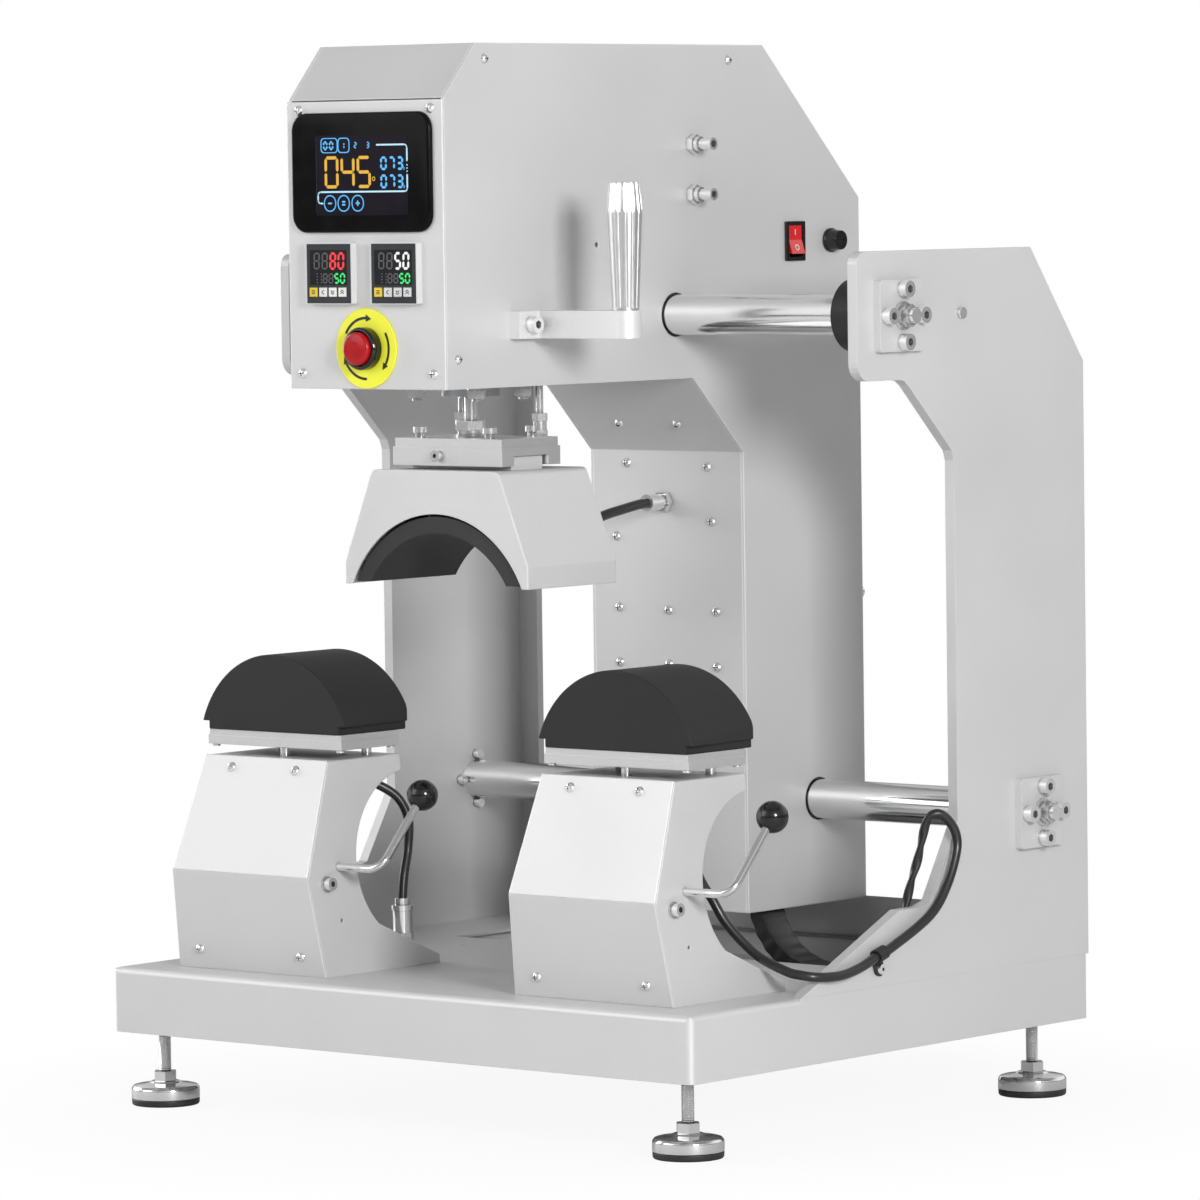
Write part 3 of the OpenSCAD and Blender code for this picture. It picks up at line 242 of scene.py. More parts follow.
def sheet_paint(name, color, rough=0.42, metal=0.3, edge=0.0005, painted_highlight=0.0):
    """Fine metallic silver powder coat: faint mottling, sparkle and a slight orange peel.

    The last argument is how much a painted highlight brightens the colour over the sharp edges.
    """
    m, tree, shader = new_material(name, color, rough, metal)
    vector = coords(tree)
    cloud = noise(tree, vector, 9, 3)
    grain = noise(tree, vector, 1900, 1)
    both = math_node(tree, "MULTIPLY_ADD", grain, 0.55, span(tree, cloud, 0.12, 0.33))
    coat = ramp(tree, both, [(0.3, shade_of(color, 0.93)), (0.5, color), (0.72, shade_of(color, 1.05))])
    # painted highlight: the colour brightens towards white over the sharp edges
    if painted_highlight:
        coat = mix_color(tree, highlight_on_edges(tree, edge, painted_highlight), coat, (*grey(0.97), 1))
    link(tree, coat, shader.inputs["Base Color"])
    link(tree, span(tree, cloud, rough - 0.05, rough + 0.06, 0.3, 0.7), shader.inputs["Roughness"])
    bump(tree, shader, noise(tree, vector, 900, 2), 0.12, edge)
    return m


def machined(name, color, rough=0.36, grain=(1, 1, 1), edge=0.0006, metal=0.8):
    """Milled or bead-blasted aluminium: an even satin with a fine grain along one direction."""
    m, tree, shader = new_material(name, color, rough, metal)
    lines = noise(tree, coords(tree, grain), 700, 1)
    link(tree, ramp(tree, lines, [(0.3, shade_of(color, 0.975)), (0.7, shade_of(color, 1.015))]),
         shader.inputs["Base Color"])
    link(tree, span(tree, lines, rough - 0.015, rough + 0.015, 0.3, 0.7), shader.inputs["Roughness"])
    link(tree, rounded(tree, edge), shader.inputs["Normal"])
    return m


def polished(name, color=(0.78, 0.78, 0.79), rough=0.13, grain=(1, 1, 1), metal=1.0, corners=0.0):
    """Ground and plated steel: nearly a mirror, with faint grinding marks."""
    m, tree, shader = new_material(name, color, rough, metal)
    marks = noise(tree, coords(tree, grain), 700, 1)
    link(tree, span(tree, marks, rough - 0.02, rough + 0.03, 0.3, 0.7), shader.inputs["Roughness"])
    # painted shade: the colour darkens in corners where parts meet
    if corners:
        link(tree, shade_in_corners(tree, color, corners), shader.inputs["Base Color"])
    return m


def rubber(name, color, rough=0.62, grain=700, strength=0.15, edge=0.0005, **more):
    """Rubber, silicone or matt moulded plastic."""
    m, tree, shader = new_material(name, color, rough, **more)
    vector = coords(tree)
    cloud = noise(tree, vector, 14, 3)
    link(tree, ramp(tree, cloud, [(0.3, shade_of(color, 0.85)), (0.7, shade_of(color, 1.2))]),
         shader.inputs["Base Color"])
    link(tree, span(tree, cloud, rough - 0.07, rough + 0.07, 0.3, 0.7), shader.inputs["Roughness"])
    bump(tree, shader, noise(tree, vector, grain, 2), strength, edge)
    return m


def glossy(name, color, rough=0.12, **more):
    """Gloss moulded plastic with faint unevenness."""
    m, tree, shader = new_material(name, color, rough, **more)
    cloud = noise(tree, coords(tree), 60, 2)
    link(tree, ramp(tree, cloud, [(0.3, shade_of(color, 0.9)), (0.7, shade_of(color, 1.1))]),
         shader.inputs["Base Color"])
    link(tree, span(tree, cloud, rough * 0.8, rough * 1.3, 0.3, 0.7), shader.inputs["Roughness"])
    bump(tree, shader, cloud, 0.03, 0.0005)
    return m


def glow(name, color, strength):
    """A lit segment of a display, uneven from its middle out."""
    m, tree, shader = new_material(name, shade_of(color, 0.3), 0.3)
    cloud = noise(tree, coords(tree), 400, 1)
    link(tree, ramp(tree, cloud, [(0.2, shade_of(color, 0.8)), (0.8, color)]),
         shader.inputs["Emission Color"])
    shader.inputs["Emission Strength"].default_value = strength
    return m


def turned_steel(name, color=(0.88, 0.88, 0.885), rough=0.15):
    """Bright turned parts, with painted shade where a head meets its washer or plate."""
    return polished(name, color, rough, metal=0.8, corners=0.005)


PAINT = (0.71, 0.71, 0.71)
MAT = {
    # silver_paint carries a painted highlight over its sharp edges
    "silver_paint": sheet_paint("silver_paint", PAINT, 0.42, 0.3, 0.0016, 0.95),
    "plate_aluminium": sheet_paint("plate_aluminium", PAINT),
    "polished_steel": polished("polished_steel", grain=(4, 1, 1)),
    "screw_steel": turned_steel("screw_steel"),
    "foot_chrome": polished("foot_chrome", (0.8, 0.8, 0.81), 0.08),
    "black_rubber": rubber("black_rubber", (0.018, 0.018, 0.019), 0.5),
    "chain_nylon": rubber("chain_nylon", (0.012, 0.012, 0.0125), 0.4),
    "pad_silicone": rubber("pad_silicone", (0.020, 0.020, 0.021), 0.6, 1400, 0.2,
                           Specular_IOR_Level=0.3),
    "platen_coating": rubber("platen_coating", (0.028, 0.028, 0.028), 0.5, 1100, 0.25,
                             Specular_IOR_Level=0.35),
    "bearing_steel": turned_steel("bearing_steel", (0.4, 0.4, 0.42), 0.26),
    "cylinder_aluminium": machined("cylinder_aluminium", (0.5, 0.51, 0.53), 0.3),
    "board_green": glossy("board_green", (0.03, 0.2, 0.08), 0.35),
    "display_black": glossy("display_black", (0.005, 0.005, 0.0055), 0.2, Specular_IOR_Level=0.08),
    "controller_black": sheet_paint("controller_case", (0.72, 0.72, 0.72), 0.45, 0.0, 0.0006),
    "key_yellow": rubber("key_yellow", (0.85, 0.62, 0.03), 0.45),
    "key_white": rubber("key_white", (0.78, 0.78, 0.76), 0.45),
    "estop_yellow": rubber("estop_yellow", (0.86, 0.86, 0.04), 0.45),
    "trough_grey": sheet_paint("trough_paint", (0.64, 0.64, 0.645), 0.45, 0.2),
    "button_red": glossy("button_red", (0.46, 0.006, 0.009), 0.22, Specular_IOR_Level=0.35),
    "switch_black": glossy("switch_black", (0.01, 0.01, 0.011), 0.1),
    "rocker_red": glossy("rocker_red", (0.7, 0.012, 0.016), 0.15, Coat_Weight=0.6),
}
MILLED = machined("milled_block", (0.76, 0.76, 0.765), 0.34)
SATIN = machined("satin_handle", (0.86, 0.86, 0.865), 0.25, (1, 1, 0.1), 0.0008, 0.9)
# bright_zinc has painted shade in its corners
ZINC = polished("bright_zinc", (0.93, 0.93, 0.935), 0.16, metal=0.75, corners=0.006)
BRIGHT = machined("bright_bracket", (0.84, 0.84, 0.845), 0.42, (1, 1, 1), 0.0008, 0.35)
BLACK_MARK = rubber("black_mark", (0.01, 0.01, 0.01), 0.5)
WHITE_MARK = rubber("white_mark", (0.85, 0.85, 0.85), 0.5)
SCREEN = glossy("screen_glass", (0.009, 0.007, 0.013), 0.2, Specular_IOR_Level=0.1)
FACE_GREY = rubber("controller_face", (0.036, 0.038, 0.042), 0.5, 1500, 0.1, Specular_IOR_Level=0.2)
DIM_SEGMENT = glossy("dim_segment", (0.13, 0.135, 0.14), 0.4, Specular_IOR_Level=0.1)
DARK_WINDOW = glossy("dark_window", (0.018, 0.018, 0.02), 0.3, Specular_IOR_Level=0.1)
AMBER = glow("amber_segment", (0.95, 0.52, 0.03), 0.66)
SKY = glow("blue_segment", (0.1, 0.5, 1.0), 0.85)
PALE = glow("pale_line", (0.5, 0.8, 1.0), 0.85)
LIT_RED = glow("red_segment", (1.0, 0.04, 0.06), 0.9)
LIT_GREEN = glow("green_segment", (0.04, 0.9, 0.2), 0.8)
LIT_WHITE = glow("white_segment", (0.95, 0.95, 0.95), 0.85)
LEAD = rubber("lead_jacket", (0.016, 0.016, 0.017), 0.36, 900, 0.12, 0.0, Coat_Weight=0.15)

STRIP_FRONT = 498.9
STRIP_BACK = 505.4
STRIP_HALF = 296
# grey of the painted shade on the deck behind the chain's slot
STRIP_SHADE = (0.24, 0.24, 0.242, 1)
FADE = 0.4 * MM


def tray_paint():
    """The base's paint, with painted shade: dark grey on the narrow strip of deck behind the slot for the
    chain.
    """
    m = sheet_paint("tray_paint", PAINT)
    tree = m.node_tree
    color = tree.nodes["Principled BSDF"].inputs["Base Color"]
    plain = color.links[0].from_socket
    place = tree.nodes.new("ShaderNodeSeparateXYZ")
    link(tree, coords(tree), place.inputs["Vector"])
    behind = span(tree, place.outputs["Y"], 0, 1, y(STRIP_FRONT) - FADE, y(STRIP_FRONT))
    before = span(tree, place.outputs["Y"], 1, 0, y(STRIP_BACK) - FADE, y(STRIP_BACK))
    aside = math_node(tree, "ABSOLUTE", place.outputs["X"])
    between = span(tree, aside, 1, 0, STRIP_HALF * MM, STRIP_HALF * MM + FADE)
    # painted shade over the strip of deck behind the slot
    strip = math_node(tree, "MULTIPLY", math_node(tree, "MULTIPLY", behind, before), between)
    link(tree, mix_color(tree, strip, plain, STRIP_SHADE), color)
    return m


SLOT_OF = {s["node"]: s["material_slot"] for s in frame["record"]["subparts"]}
NODE_LOOK = {"clamp_block": MILLED, "handle_grip": SATIN, "handle_bracket": BRIGHT,
             "platen_bases": MILLED, "press_rods": ZINC, "base_tray": tray_paint()}


def dress_nodes():
    for name, obj in nodes.items():
        obj.data.materials.clear()
        obj.data.materials.append(NODE_LOOK.get(name, MAT[SLOT_OF[name]]))


dress_nodes()

# ---------------------------------------------------------------- mesh helpers


def add_piece(name, part, material, body, smooth=None):
    """A mesh piece that rides on a body. smooth is the angle in degrees under which edges are soft.

    part is a pair: the vertices and the faces.
    """
    mesh = bpy.data.meshes.new(name)
    mesh.from_pydata([tuple(v) for v in part[0]], [], part[1])
    bm = bmesh.new()
    bm.from_mesh(mesh)
    bmesh.ops.remove_doubles(bm, verts=bm.verts, dist=1e-7)
    bmesh.ops.recalc_face_normals(bm, faces=bm.faces)
    bm.to_mesh(mesh)
    bm.free()
    obj = bpy.data.objects.new(name, mesh)
    scene.collection.objects.link(obj)
    mesh.materials.append(material)
    if smooth:
        mesh.shade_smooth()
        soften(obj, smooth)
    if body:
        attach(obj, body)
    return obj


def soften(obj, angle):
    """Marks edges sharper than the angle as sharp."""
    bm = bmesh.new()
    bm.from_mesh(obj.data)
    limit = math.radians(angle)
    for edge in bm.edges:
        edge.smooth = len(edge.link_faces) == 2 and edge.calc_face_angle(0) < limit
    bm.to_mesh(obj.data)
    bm.free()


def lathe(profile, origin, axis, sides):
    """Vertices and faces of a profile of (along, radius) turned about an axis through origin."""
    axis = Vector(axis).normalized()
    side = axis.orthogonal().normalized()
    third = axis.cross(side)
    verts, faces, rings = [], [], []
    for along, radius in profile:
        if radius < 1e-7:
            rings.append([len(verts)])
            verts.append(origin + axis * along)
            continue
        ring = []
        for i in range(sides):
            a = 2 * math.pi * i / sides
            ring.append(len(verts))
            verts.append(origin + axis * along + (side * math.cos(a) + third * math.sin(a)) * radius)
        rings.append(ring)
    for a, b in zip(rings, rings[1:]):
        for i in range(sides):
            j = (i + 1) % sides
            if len(a) == 1 and len(b) > 1:
                faces.append((a[0], b[i], b[j]))
            elif len(b) == 1 and len(a) > 1:
                faces.append((a[i], a[j], b[0]))
            elif len(a) > 1:
                faces.append((a[i], a[j], b[j], b[i]))
    return verts, faces


def bend(points, radius, steps=4):
    """Rounds each inner corner of a (along, radius) profile."""
    out = [Vector(points[0])]
    for before, corner, after in zip(points, points[1:], points[2:]):
        c, p, n = Vector(corner), Vector(before), Vector(after)
        r = min(radius, (p - c).length * 0.45, (n - c).length * 0.45)
        a, b = c + (p - c).normalized() * r, c + (n - c).normalized() * r
        for i in range(steps + 1):
            t = i / steps
            out.append(a.lerp(c, t).lerp(c.lerp(b, t), t))
    out.append(Vector(points[-1]))
    return [(p[0], p[1]) for p in out]


def round_outline(w, h, r, steps=8):
    """Outline of a rounded rectangle about the origin."""
    out = []
    for cx, cz, start in ((1, 1, 0), (-1, 1, 90), (-1, -1, 180), (1, -1, 270)):
        for i in range(steps + 1):
            a = math.radians(start + 90 * i / steps)
            out.append((cx * (w / 2 - r) + r * math.cos(a), cz * (h / 2 - r) + r * math.sin(a)))
    return out


def front_prism(outline, y_front, y_back, lip=0.0, steps=4):
    """Prism of an (x, z) outline between two Y planes, its front edge rounded by lip."""
    layers = [(y_back, 0.0)]
    if lip:
        for i in range(steps + 1):
            a = math.pi / 2 * i / steps
            layers.append((y_front + lip * (1 - math.sin(a)), lip * (1 - math.cos(a))))
    else:
        layers.append((y_front, 0.0))
    verts = [Vector((px, depth, pz)) for depth, by in layers for px, pz in inset(outline, by)]
    return verts, skin(len(layers), len(outline))


def skin(rings, count):
    """Faces over rings of that many points each, closed at both ends."""
    faces = []
    for r in range(rings - 1):
        for i in range(count):
            j = (i + 1) % count
            faces.append((r * count + i, r * count + j, (r + 1) * count + j, (r + 1) * count + i))
    faces.append(tuple(range(count)))
    faces.append(tuple(range((rings - 1) * count, rings * count)))
    return faces


def inset(outline, by):
    """An outline drawn in towards its middle by a distance, or out where that is negative."""
    cx = sum(p[0] for p in outline) / len(outline)
    cz = sum(p[1] for p in outline) / len(outline)
    out = []
    for px, pz in outline:
        share = 1 - by / math.hypot(px - cx, pz - cz)
        out.append((cx + (px - cx) * share, cz + (pz - cz) * share))
    return out


def join(parts):
    """One list of vertices and faces from several."""
    verts, faces = [], []
    for v, f in parts:
        shift = len(verts)
        verts += list(v)
        faces += [tuple(i + shift for i in face) for face in f]
    return verts, faces


def moved(part, offset):
    return [v + Vector(offset) for v in part[0]], part[1]


# ---------------------------------------------------------------- leads


def ease_route(points):
    """The same smooth curve as the source's leads, through the points of a route."""
    last = len(points) - 1
    out = []
    for i in range(last):
        a, b, c, d = points[max(i - 1, 0)], points[i], points[i + 1], points[min(i + 2, last)]
        for j in range(PER_POINT):
            t = j / PER_POINT
            out.append(0.5 * (2 * b + (c - a) * t + (2 * a - 5 * b + 4 * c - d) * t * t
                              + (3 * b - a - 3 * c + d) * t ** 3))
    out.append(points[-1])
    return out


def runs_of(points):
    """How far along a route each of its points is."""
    run = [0.0]
    for a, b in zip(points, points[1:]):
        run.append(run[-1] + (b - a).length)
    return run


def sides_along(points, end):
    """Two directions square to the route at each point, carried along without twist."""
    tangents = []
    for i in range(len(points)):
        a, b = points[max(i - 1, 0)], points[min(i + 1, len(points) - 1)]
        tangents.append((b - a).normalized())
    tangents[0] = tangents[-1] = Vector(end)
    out, s = [], Vector((1, 0, 0))
    for t in tangents:
        s = (s - t * s.dot(t)).normalized()
        out.append((s.copy(), t.cross(s)))
    return out


def tube(points, shape, end):
    """Tube along points, its ends square to a direction. shape(i, angle) is ring i's radius there."""
    verts = []
    for i, (p, (s, u)) in enumerate(zip(points, sides_along(points, end))):
        for j in range(LEAD_SIDES):
            a = 2 * math.pi * j / LEAD_SIDES
            verts.append(p + (s * math.cos(a) + u * math.sin(a)) * shape(i, a))
    return verts, skin(len(points), LEAD_SIDES)


STATION_X = 177.5
BASE_HALF = 300
STATION_RUN = [(30, 112, 279.5), (30, 113, 272), (31, 116.5, 245), (35.5, 117, 207), (43, 125.5, 185),
               (54, 131, 164.5), (76.5, 138, 142.5)]
PLATE_RUN = [(-19, 140, 131.5), (-7, 144, 128.8), (1, 150.5, 127.2), (5.5, 165, 126.3), (7, 181, 127),
             (6.5, 203, 131), (5.6, 226, 138), (5.6, 241, 142), (7, 288, 162.5), (7, 310.5, 184.5),
             (6.5, 324, 210.5), (5, 324, 226), (1, 317, 237), (-3.5, 310.5, 240), (-9, 306, 234),
             (-15, 302.5, 205.5), (-18.5, 299.5, 190.5), (-23, 296, 167.5), (-23, 292, 150),
             (-23, 292, 119)]
RIGHT_ROUTE = ([(a + STATION_X, b, c) for a, b, c in STATION_RUN]
               + [(a + BASE_HALF, b, c) for a, b, c in PLATE_RUN])
LEFT_ROUTE = [(30, 112, 279.5), (30, 113, 273.5), (32, 121, 266), (41, 136, 258), (54, 149, 246),
              (62, 153, 228), (62.5, 151.5, 205), (64.5, 144, 184), (66, 140, 166)]
HOT_ROUTE = [(-2, 321.2, 477), (-2, 312, 476.3), (-2, 292.5, 473.5), (-2, 266, 469), (-2, 246, 462),
             (-2, 226, 455), (-2, 207, 455), (-2, 193, 467), (-2, 182, 486), (-2, 165.2, 497)]
LEAD_D = 7.5
HOT_LEAD_D = 8
HOT_FIXED = (-2, 315, 477)
HOT_MOVING = (-2, 172, 497)
DOWN = (0, 0, -1)
FORWARD = (0, -1, 0)
LEAD_SIDES = 20
PER_POINT = 6
TWIST_FROM = 20
TWIST_PITCH = 52 * MM
TWIST_DEPTH = 0.34
TWIST_IN = 8
TWIST_OUT = 5


def make_lead(name, points, diameter, node, shape=None, end=DOWN, between=None):
    """A lead along its points. between holds the two bodies and places that a blend would run between; they
    are not used, and a lead given them is baked in place on no body.
    """
    radius = diameter * MM / 2
    part = tube(points, shape or (lambda i, a: radius), end)
    obj = add_piece(name, part, LEAD, None if between else "frame", 50)
    if between:
        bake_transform(obj)
    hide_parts(node)


def twisted_shape(points):
    """Radius of the right lead: round up to its top bend, then a twisted flat pair."""
    start = TWIST_FROM * PER_POINT
    last = len(points) - 1
    run = runs_of(points)
    full = LEAD_D * MM / 2

    def shape(i, angle):
        if i <= start:
            return full
        mix = min(1.0, (i - start) / TWIST_IN, (last - i) / TWIST_OUT)
        turn = 2 * math.pi * (run[i] - run[start]) / TWIST_PITCH
        lobes = 1 - TWIST_DEPTH * (1 - abs(math.cos(angle - turn)) ** 1.6)
        return full * (1 - mix + mix * lobes)

    return shape


def make_leads():
    right = ease_route([at(*p) for p in RIGHT_ROUTE])
    make_lead("right_station_lead", right, LEAD_D, "right_lead", twisted_shape(right))
    left = ease_route([at(a - STATION_X, b, c) for a, b, c in LEFT_ROUTE])
    make_lead("left_station_lead", left, LEAD_D, "left_lead")
    hot = ease_route([at(*p) for p in HOT_ROUTE])
    make_lead("press_lead", hot, HOT_LEAD_D, "hot_lead", end=FORWARD,
              between=("carriage", "press", at(*HOT_FIXED), at(*HOT_MOVING)))


make_leads()

# ---------------------------------------------------------------- displays

FRONT_Y = -16.0
DISPLAY_X = -1.5
DISPLAY_Z = 747
DISPLAY_W = 143
DISPLAY_H = 92.5
DISPLAY_OUT = 4.2
DISPLAY_CORNER = 14
DISPLAY_LIP = 2.6
BACK_W = 116
BACK_H = 68
BACK_DEPTH = 10
WINDOW_W = 94.6
WINDOW_H = 61.8
WINDOW_X = 0.8
WINDOW_Z = 744.9
GLASS_OUT = 0.12
FIGURE_OUT = 0.3
DEGREE_X = 13.2
DEGREE_Z = 742
SEGMENTS = {"0": "abcdef", "1": "bc", "2": "abged", "3": "abgcd", "4": "fgbc", "5": "afgcd",
            "6": "afgcde", "7": "abc", "8": "abcdefg", "9": "abcdfg"}
# A row of figures: its text, left and bottom, a figure's width and height, its stroke and gap.
LARGE_FIGURES = ("045", -36.2, 736.2, 11.9, 22.3, 2.5, 4.8)
SMALL_FIGURES = [("073", 21.1, 749.4, 4.9, 8.7, 1.9, 3.5), ("073", 21.1, 735.4, 4.9, 8.9, 1.9, 3.5),
                 ("0", 44, 748.8, 1.0, 1.6, 0.7, 1), ("0", 44, 734.8, 1.0, 1.6, 0.7, 1),
                 ("00", -38, 765.2, 3.2, 5.4, 1.7, 2.9), ("1", -19.2, 765.6, 2.2, 4.4, 1.1, 1),
                 ("2", -6.4, 766, 2.2, 4.0, 1.0, 1), ("3", 6.6, 766, 2.2, 4.0, 1.0, 1)]
KEY_ROW = 723.4
TOP_ROW = 768
MINUS_X = -32.3
EQUALS_X = -18.1
PLUS_X = -3.6
SIGN_HALF = 2.3
# A frame round a sign: width, height, corner, steps of a corner, middle.
FRAMES = [(16.8, 11, 3, 8, -32.4, TOP_ROW), (11.4, 11, 3, 8, -17.4, TOP_ROW),
          *[(11.8, 12, 5.6, 6, px, KEY_ROW) for px in (MINUS_X, EQUALS_X, PLUS_X)]]
# The line that frames the figures, with gaps down its right side.
LINE_START = 16
LINE_RIGHT = 47.6
LINE_LEFT = -44.6
LINE_LOW = 732.2
LINE_END = -39.2
LINE_BEND = 2.2
GAPS = (755, 753, 751.6, 750.6, 749.2, 748.2, 746.8, 745.4)


def segment_bars(w, h, t):
    """Centre line ends of the seven segments of a digit of that width and height."""
    g = t * 0.16
    return {"a": ((g, h), (w - g, h)), "g": ((g, h / 2), (w - g, h / 2)), "d": ((g, 0), (w - g, 0)),
            "f": ((0, h / 2 + g), (0, h - g)), "b": ((w, h / 2 + g), (w, h - g)),
            "e": ((0, g), (0, h / 2 - g)), "c": ((w, g), (w, h / 2 - g))}


def stroke(a, b, width, depth, y_front, lean=0.0):
    """A pointed bar between two (x, z) points, standing out towards the front."""
    a, b = Vector(a), Vector(b)
    d = (b - a).normalized()
    n = Vector((-d.y, d.x)) * width / 2
    tip = d * width / 2
    flat = [a, a + tip + n, b - tip + n, b, b - tip - n, a + tip - n]
    verts = [Vector((p.x + p.y * lean, yy, p.y)) for yy in (y_front, y_front + depth) for p in flat]
    return verts, skin(2, len(flat))


def digits(text, x0, z0, w, h, t, gap, y_front, depth=FIGURE_OUT, lean=0.0):
    """Seven-segment digits from a left-bottom point, all in millimetres."""
    parts = []
    bars = segment_bars(w, h, t)
    for i, char in enumerate(text):
        place = (x0 + i * (w + gap), y_front, z0)
        parts += [moved(stroke(*bars[key], t, depth, 0, lean), place) for key in SEGMENTS[char]]
    return join(parts)


def ring_line(outline, width, y_front):
    """A thin closed line that follows an (x, z) outline."""
    n = len(outline)
    verts = [Vector((px, depth, pz)) for depth in (y_front, y_front + FIGURE_OUT)
             for by in (-width / 2, width / 2) for px, pz in inset(outline, by)]
    faces = []
    for i in range(n):
        j = (i + 1) % n
        faces += [(i, j, n + j, n + i), (2 * n + i, 3 * n + i, 3 * n + j, 2 * n + j),
                  (i, 2 * n + i, 2 * n + j, j), (n + i, n + j, 3 * n + j, 3 * n + i)]
    return verts, faces


def shifted(outline, px, pz):
    return [(a + px, b + pz) for a, b in outline]


def scaled(part):
    """A part drawn in the source's millimetres, in the frame."""
    return [at(v.x, v.y, v.z) for v in part[0]], part[1]


def line_bars(lines, width, y_front):
    """Bars between pairs of (x, z) points."""
    return [stroke(a, b, width, FIGURE_OUT, y_front) for a, b in lines]


def sign_lines():
    """Strokes of the minus, equals and plus signs."""
    level = [(MINUS_X, 0, SIGN_HALF), (PLUS_X, 0, SIGN_HALF), (EQUALS_X, 1.2, 1.9), (EQUALS_X, -1.1, 1.9)]
    lines = [((px - half, KEY_ROW + up), (px + half, KEY_ROW + up)) for px, up, half in level]
    lines.append(((PLUS_X, KEY_ROW - SIGN_HALF), (PLUS_X, KEY_ROW + SIGN_HALF)))
    return lines


def frame_line():
    """Strokes of the line round the figures, its bends drawn in three strokes each."""
    right, left = LINE_RIGHT - LINE_BEND, LINE_LEFT + LINE_BEND
    stops = (TOP_ROW - LINE_BEND, *GAPS, LINE_LOW + LINE_BEND)
    lines = [((LINE_RIGHT, a), (LINE_RIGHT, b)) for a, b in zip(stops[::2], stops[1::2])]
    lines += [((LINE_START, TOP_ROW), (right, TOP_ROW)), ((right, LINE_LOW), (left, LINE_LOW)),
              ((LINE_LEFT, LINE_LOW - LINE_BEND), (LINE_LEFT, KEY_ROW + LINE_BEND)),
              ((left, KEY_ROW), (LINE_END, KEY_ROW))]
    for cx, cz, start in ((right, TOP_ROW - LINE_BEND, 0), (right, LINE_LOW + LINE_BEND, 270),
                          (left, LINE_LOW - LINE_BEND, 90), (left, KEY_ROW + LINE_BEND, 180)):
        for turn in (start, start + 30, start + 60):
            lines.append([(cx + LINE_BEND * math.cos(math.radians(a)),
                           cz + LINE_BEND * math.sin(math.radians(a))) for a in (turn - 4, turn + 34)])
    return lines


def make_touch_display():
    """Gloss black front with rounded edges, a dark window and generic figures."""
    face = FRONT_Y - DISPLAY_OUT
    top = face - FIGURE_OUT
    outline = round_outline(DISPLAY_W, DISPLAY_H, DISPLAY_CORNER, 12)
    case = front_prism(shifted(outline, DISPLAY_X, DISPLAY_Z), face, FRONT_Y, DISPLAY_LIP, 6)
    back = front_prism(shifted(round_outline(BACK_W, BACK_H, 1, 2), DISPLAY_X, DISPLAY_Z), FRONT_Y,
                       BACK_DEPTH)
    bezel = add_piece("touch_display_front", scaled(join([case, back])), MAT["display_black"],
                      "carriage", 40)
    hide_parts("touch_display")
    glass = front_prism(shifted(round_outline(WINDOW_W, WINDOW_H, 1.5, 3), WINDOW_X, WINDOW_Z),
                        face - GLASS_OUT, face)
    degree = shifted(round_outline(2.4, 2.8, 1.1, 4), DEGREE_X, DEGREE_Z)
    large = [digits(*LARGE_FIGURES, top), ring_line(degree, 0.6, top)]
    marks = [ring_line(shifted(round_outline(w, h, r, steps), px, pz), 0.9, top)
             for w, h, r, steps, px, pz in FRAMES]
    looks = {"window": (glass, SCREEN), "large_figures": (join(large), AMBER),
             "small_figures": (join([digits(*row, top) for row in SMALL_FIGURES]), SKY),
             "key_marks": (join(marks + line_bars(sign_lines(), 1.4, top)), SKY),
             "frame_line": (join(line_bars(frame_line(), 1.3, top)), PALE)}
    for name, (part, look) in looks.items():
        add_piece("display_" + name, scaled(part), look, "carriage")


make_touch_display()

CONTROLLER_X = 33.5
CONTROLLER_OUT = 6.6
FACE_LEFT = -21.8
FACE_RIGHT = 23.4
FACE_LOW = 646.4
FACE_TOP = 692.2
FACE_OUT = 0.35
KEY_Z = 655
KEY_STEP = 10
KEY_W = 7.8
KEY_H = 7
KEY_GAP = 0.3
KEY_OUT = 0.8
PANE_W = 38.6
PANE_H = 27
PANE_X = 0.5
PANE_Z = 674
PANE_OUT = 0.06
FIGURES_LEFT = -14.1
FIGURES_OUT = 0.16
# Bottom, width, height and gap of the figures in a controller's two rows.
UPPER_ROW = (673.2, 5.0, 11.6, 3.4)
LOWER_ROW = (662.2, 3.9, 6.8, 2.1)
LOWER_START = 9.3
LEAN = 0.04


def plate_with_windows(x0, x1, z0, z1, windows, y_front, y_back):
    """A flat plate with rectangular windows, as one closed mesh of cells."""
    xs = sorted({x0, x1, *[w[0] for w in windows], *[w[1] for w in windows]})
    zs = sorted({z0, z1, *[w[2] for w in windows], *[w[3] for w in windows]})
    solid = {}
    for i in range(len(xs) - 1):
        for j in range(len(zs) - 1):
            cx, cz = (xs[i] + xs[i + 1]) / 2, (zs[j] + zs[j + 1]) / 2
            solid[i, j] = not any(w[0] < cx < w[1] and w[2] < cz < w[3] for w in windows)
    verts, faces = [], []

    def quad(*points):
        start = len(verts)
        verts.extend(Vector(p) for p in points)
        faces.append((start, start + 1, start + 2, start + 3))

    for (i, j), full in solid.items():
        if not full:
            continue
        a, b, c, d = xs[i], xs[i + 1], zs[j], zs[j + 1]
        quad((a, y_front, c), (b, y_front, c), (b, y_front, d), (a, y_front, d))
        quad((a, y_back, c), (a, y_back, d), (b, y_back, d), (b, y_back, c))
        if not solid.get((i - 1, j)):
            quad((a, y_front, c), (a, y_front, d), (a, y_back, d), (a, y_back, c))
        if not solid.get((i + 1, j)):
            quad((b, y_front, c), (b, y_back, c), (b, y_back, d), (b, y_front, d))
        if not solid.get((i, j - 1)):
            quad((a, y_front, c), (a, y_back, c), (b, y_back, c), (b, y_front, c))
        if not solid.get((i, j + 1)):
            quad((a, y_front, d), (b, y_front, d), (b, y_back, d), (a, y_back, d))
    return verts, faces


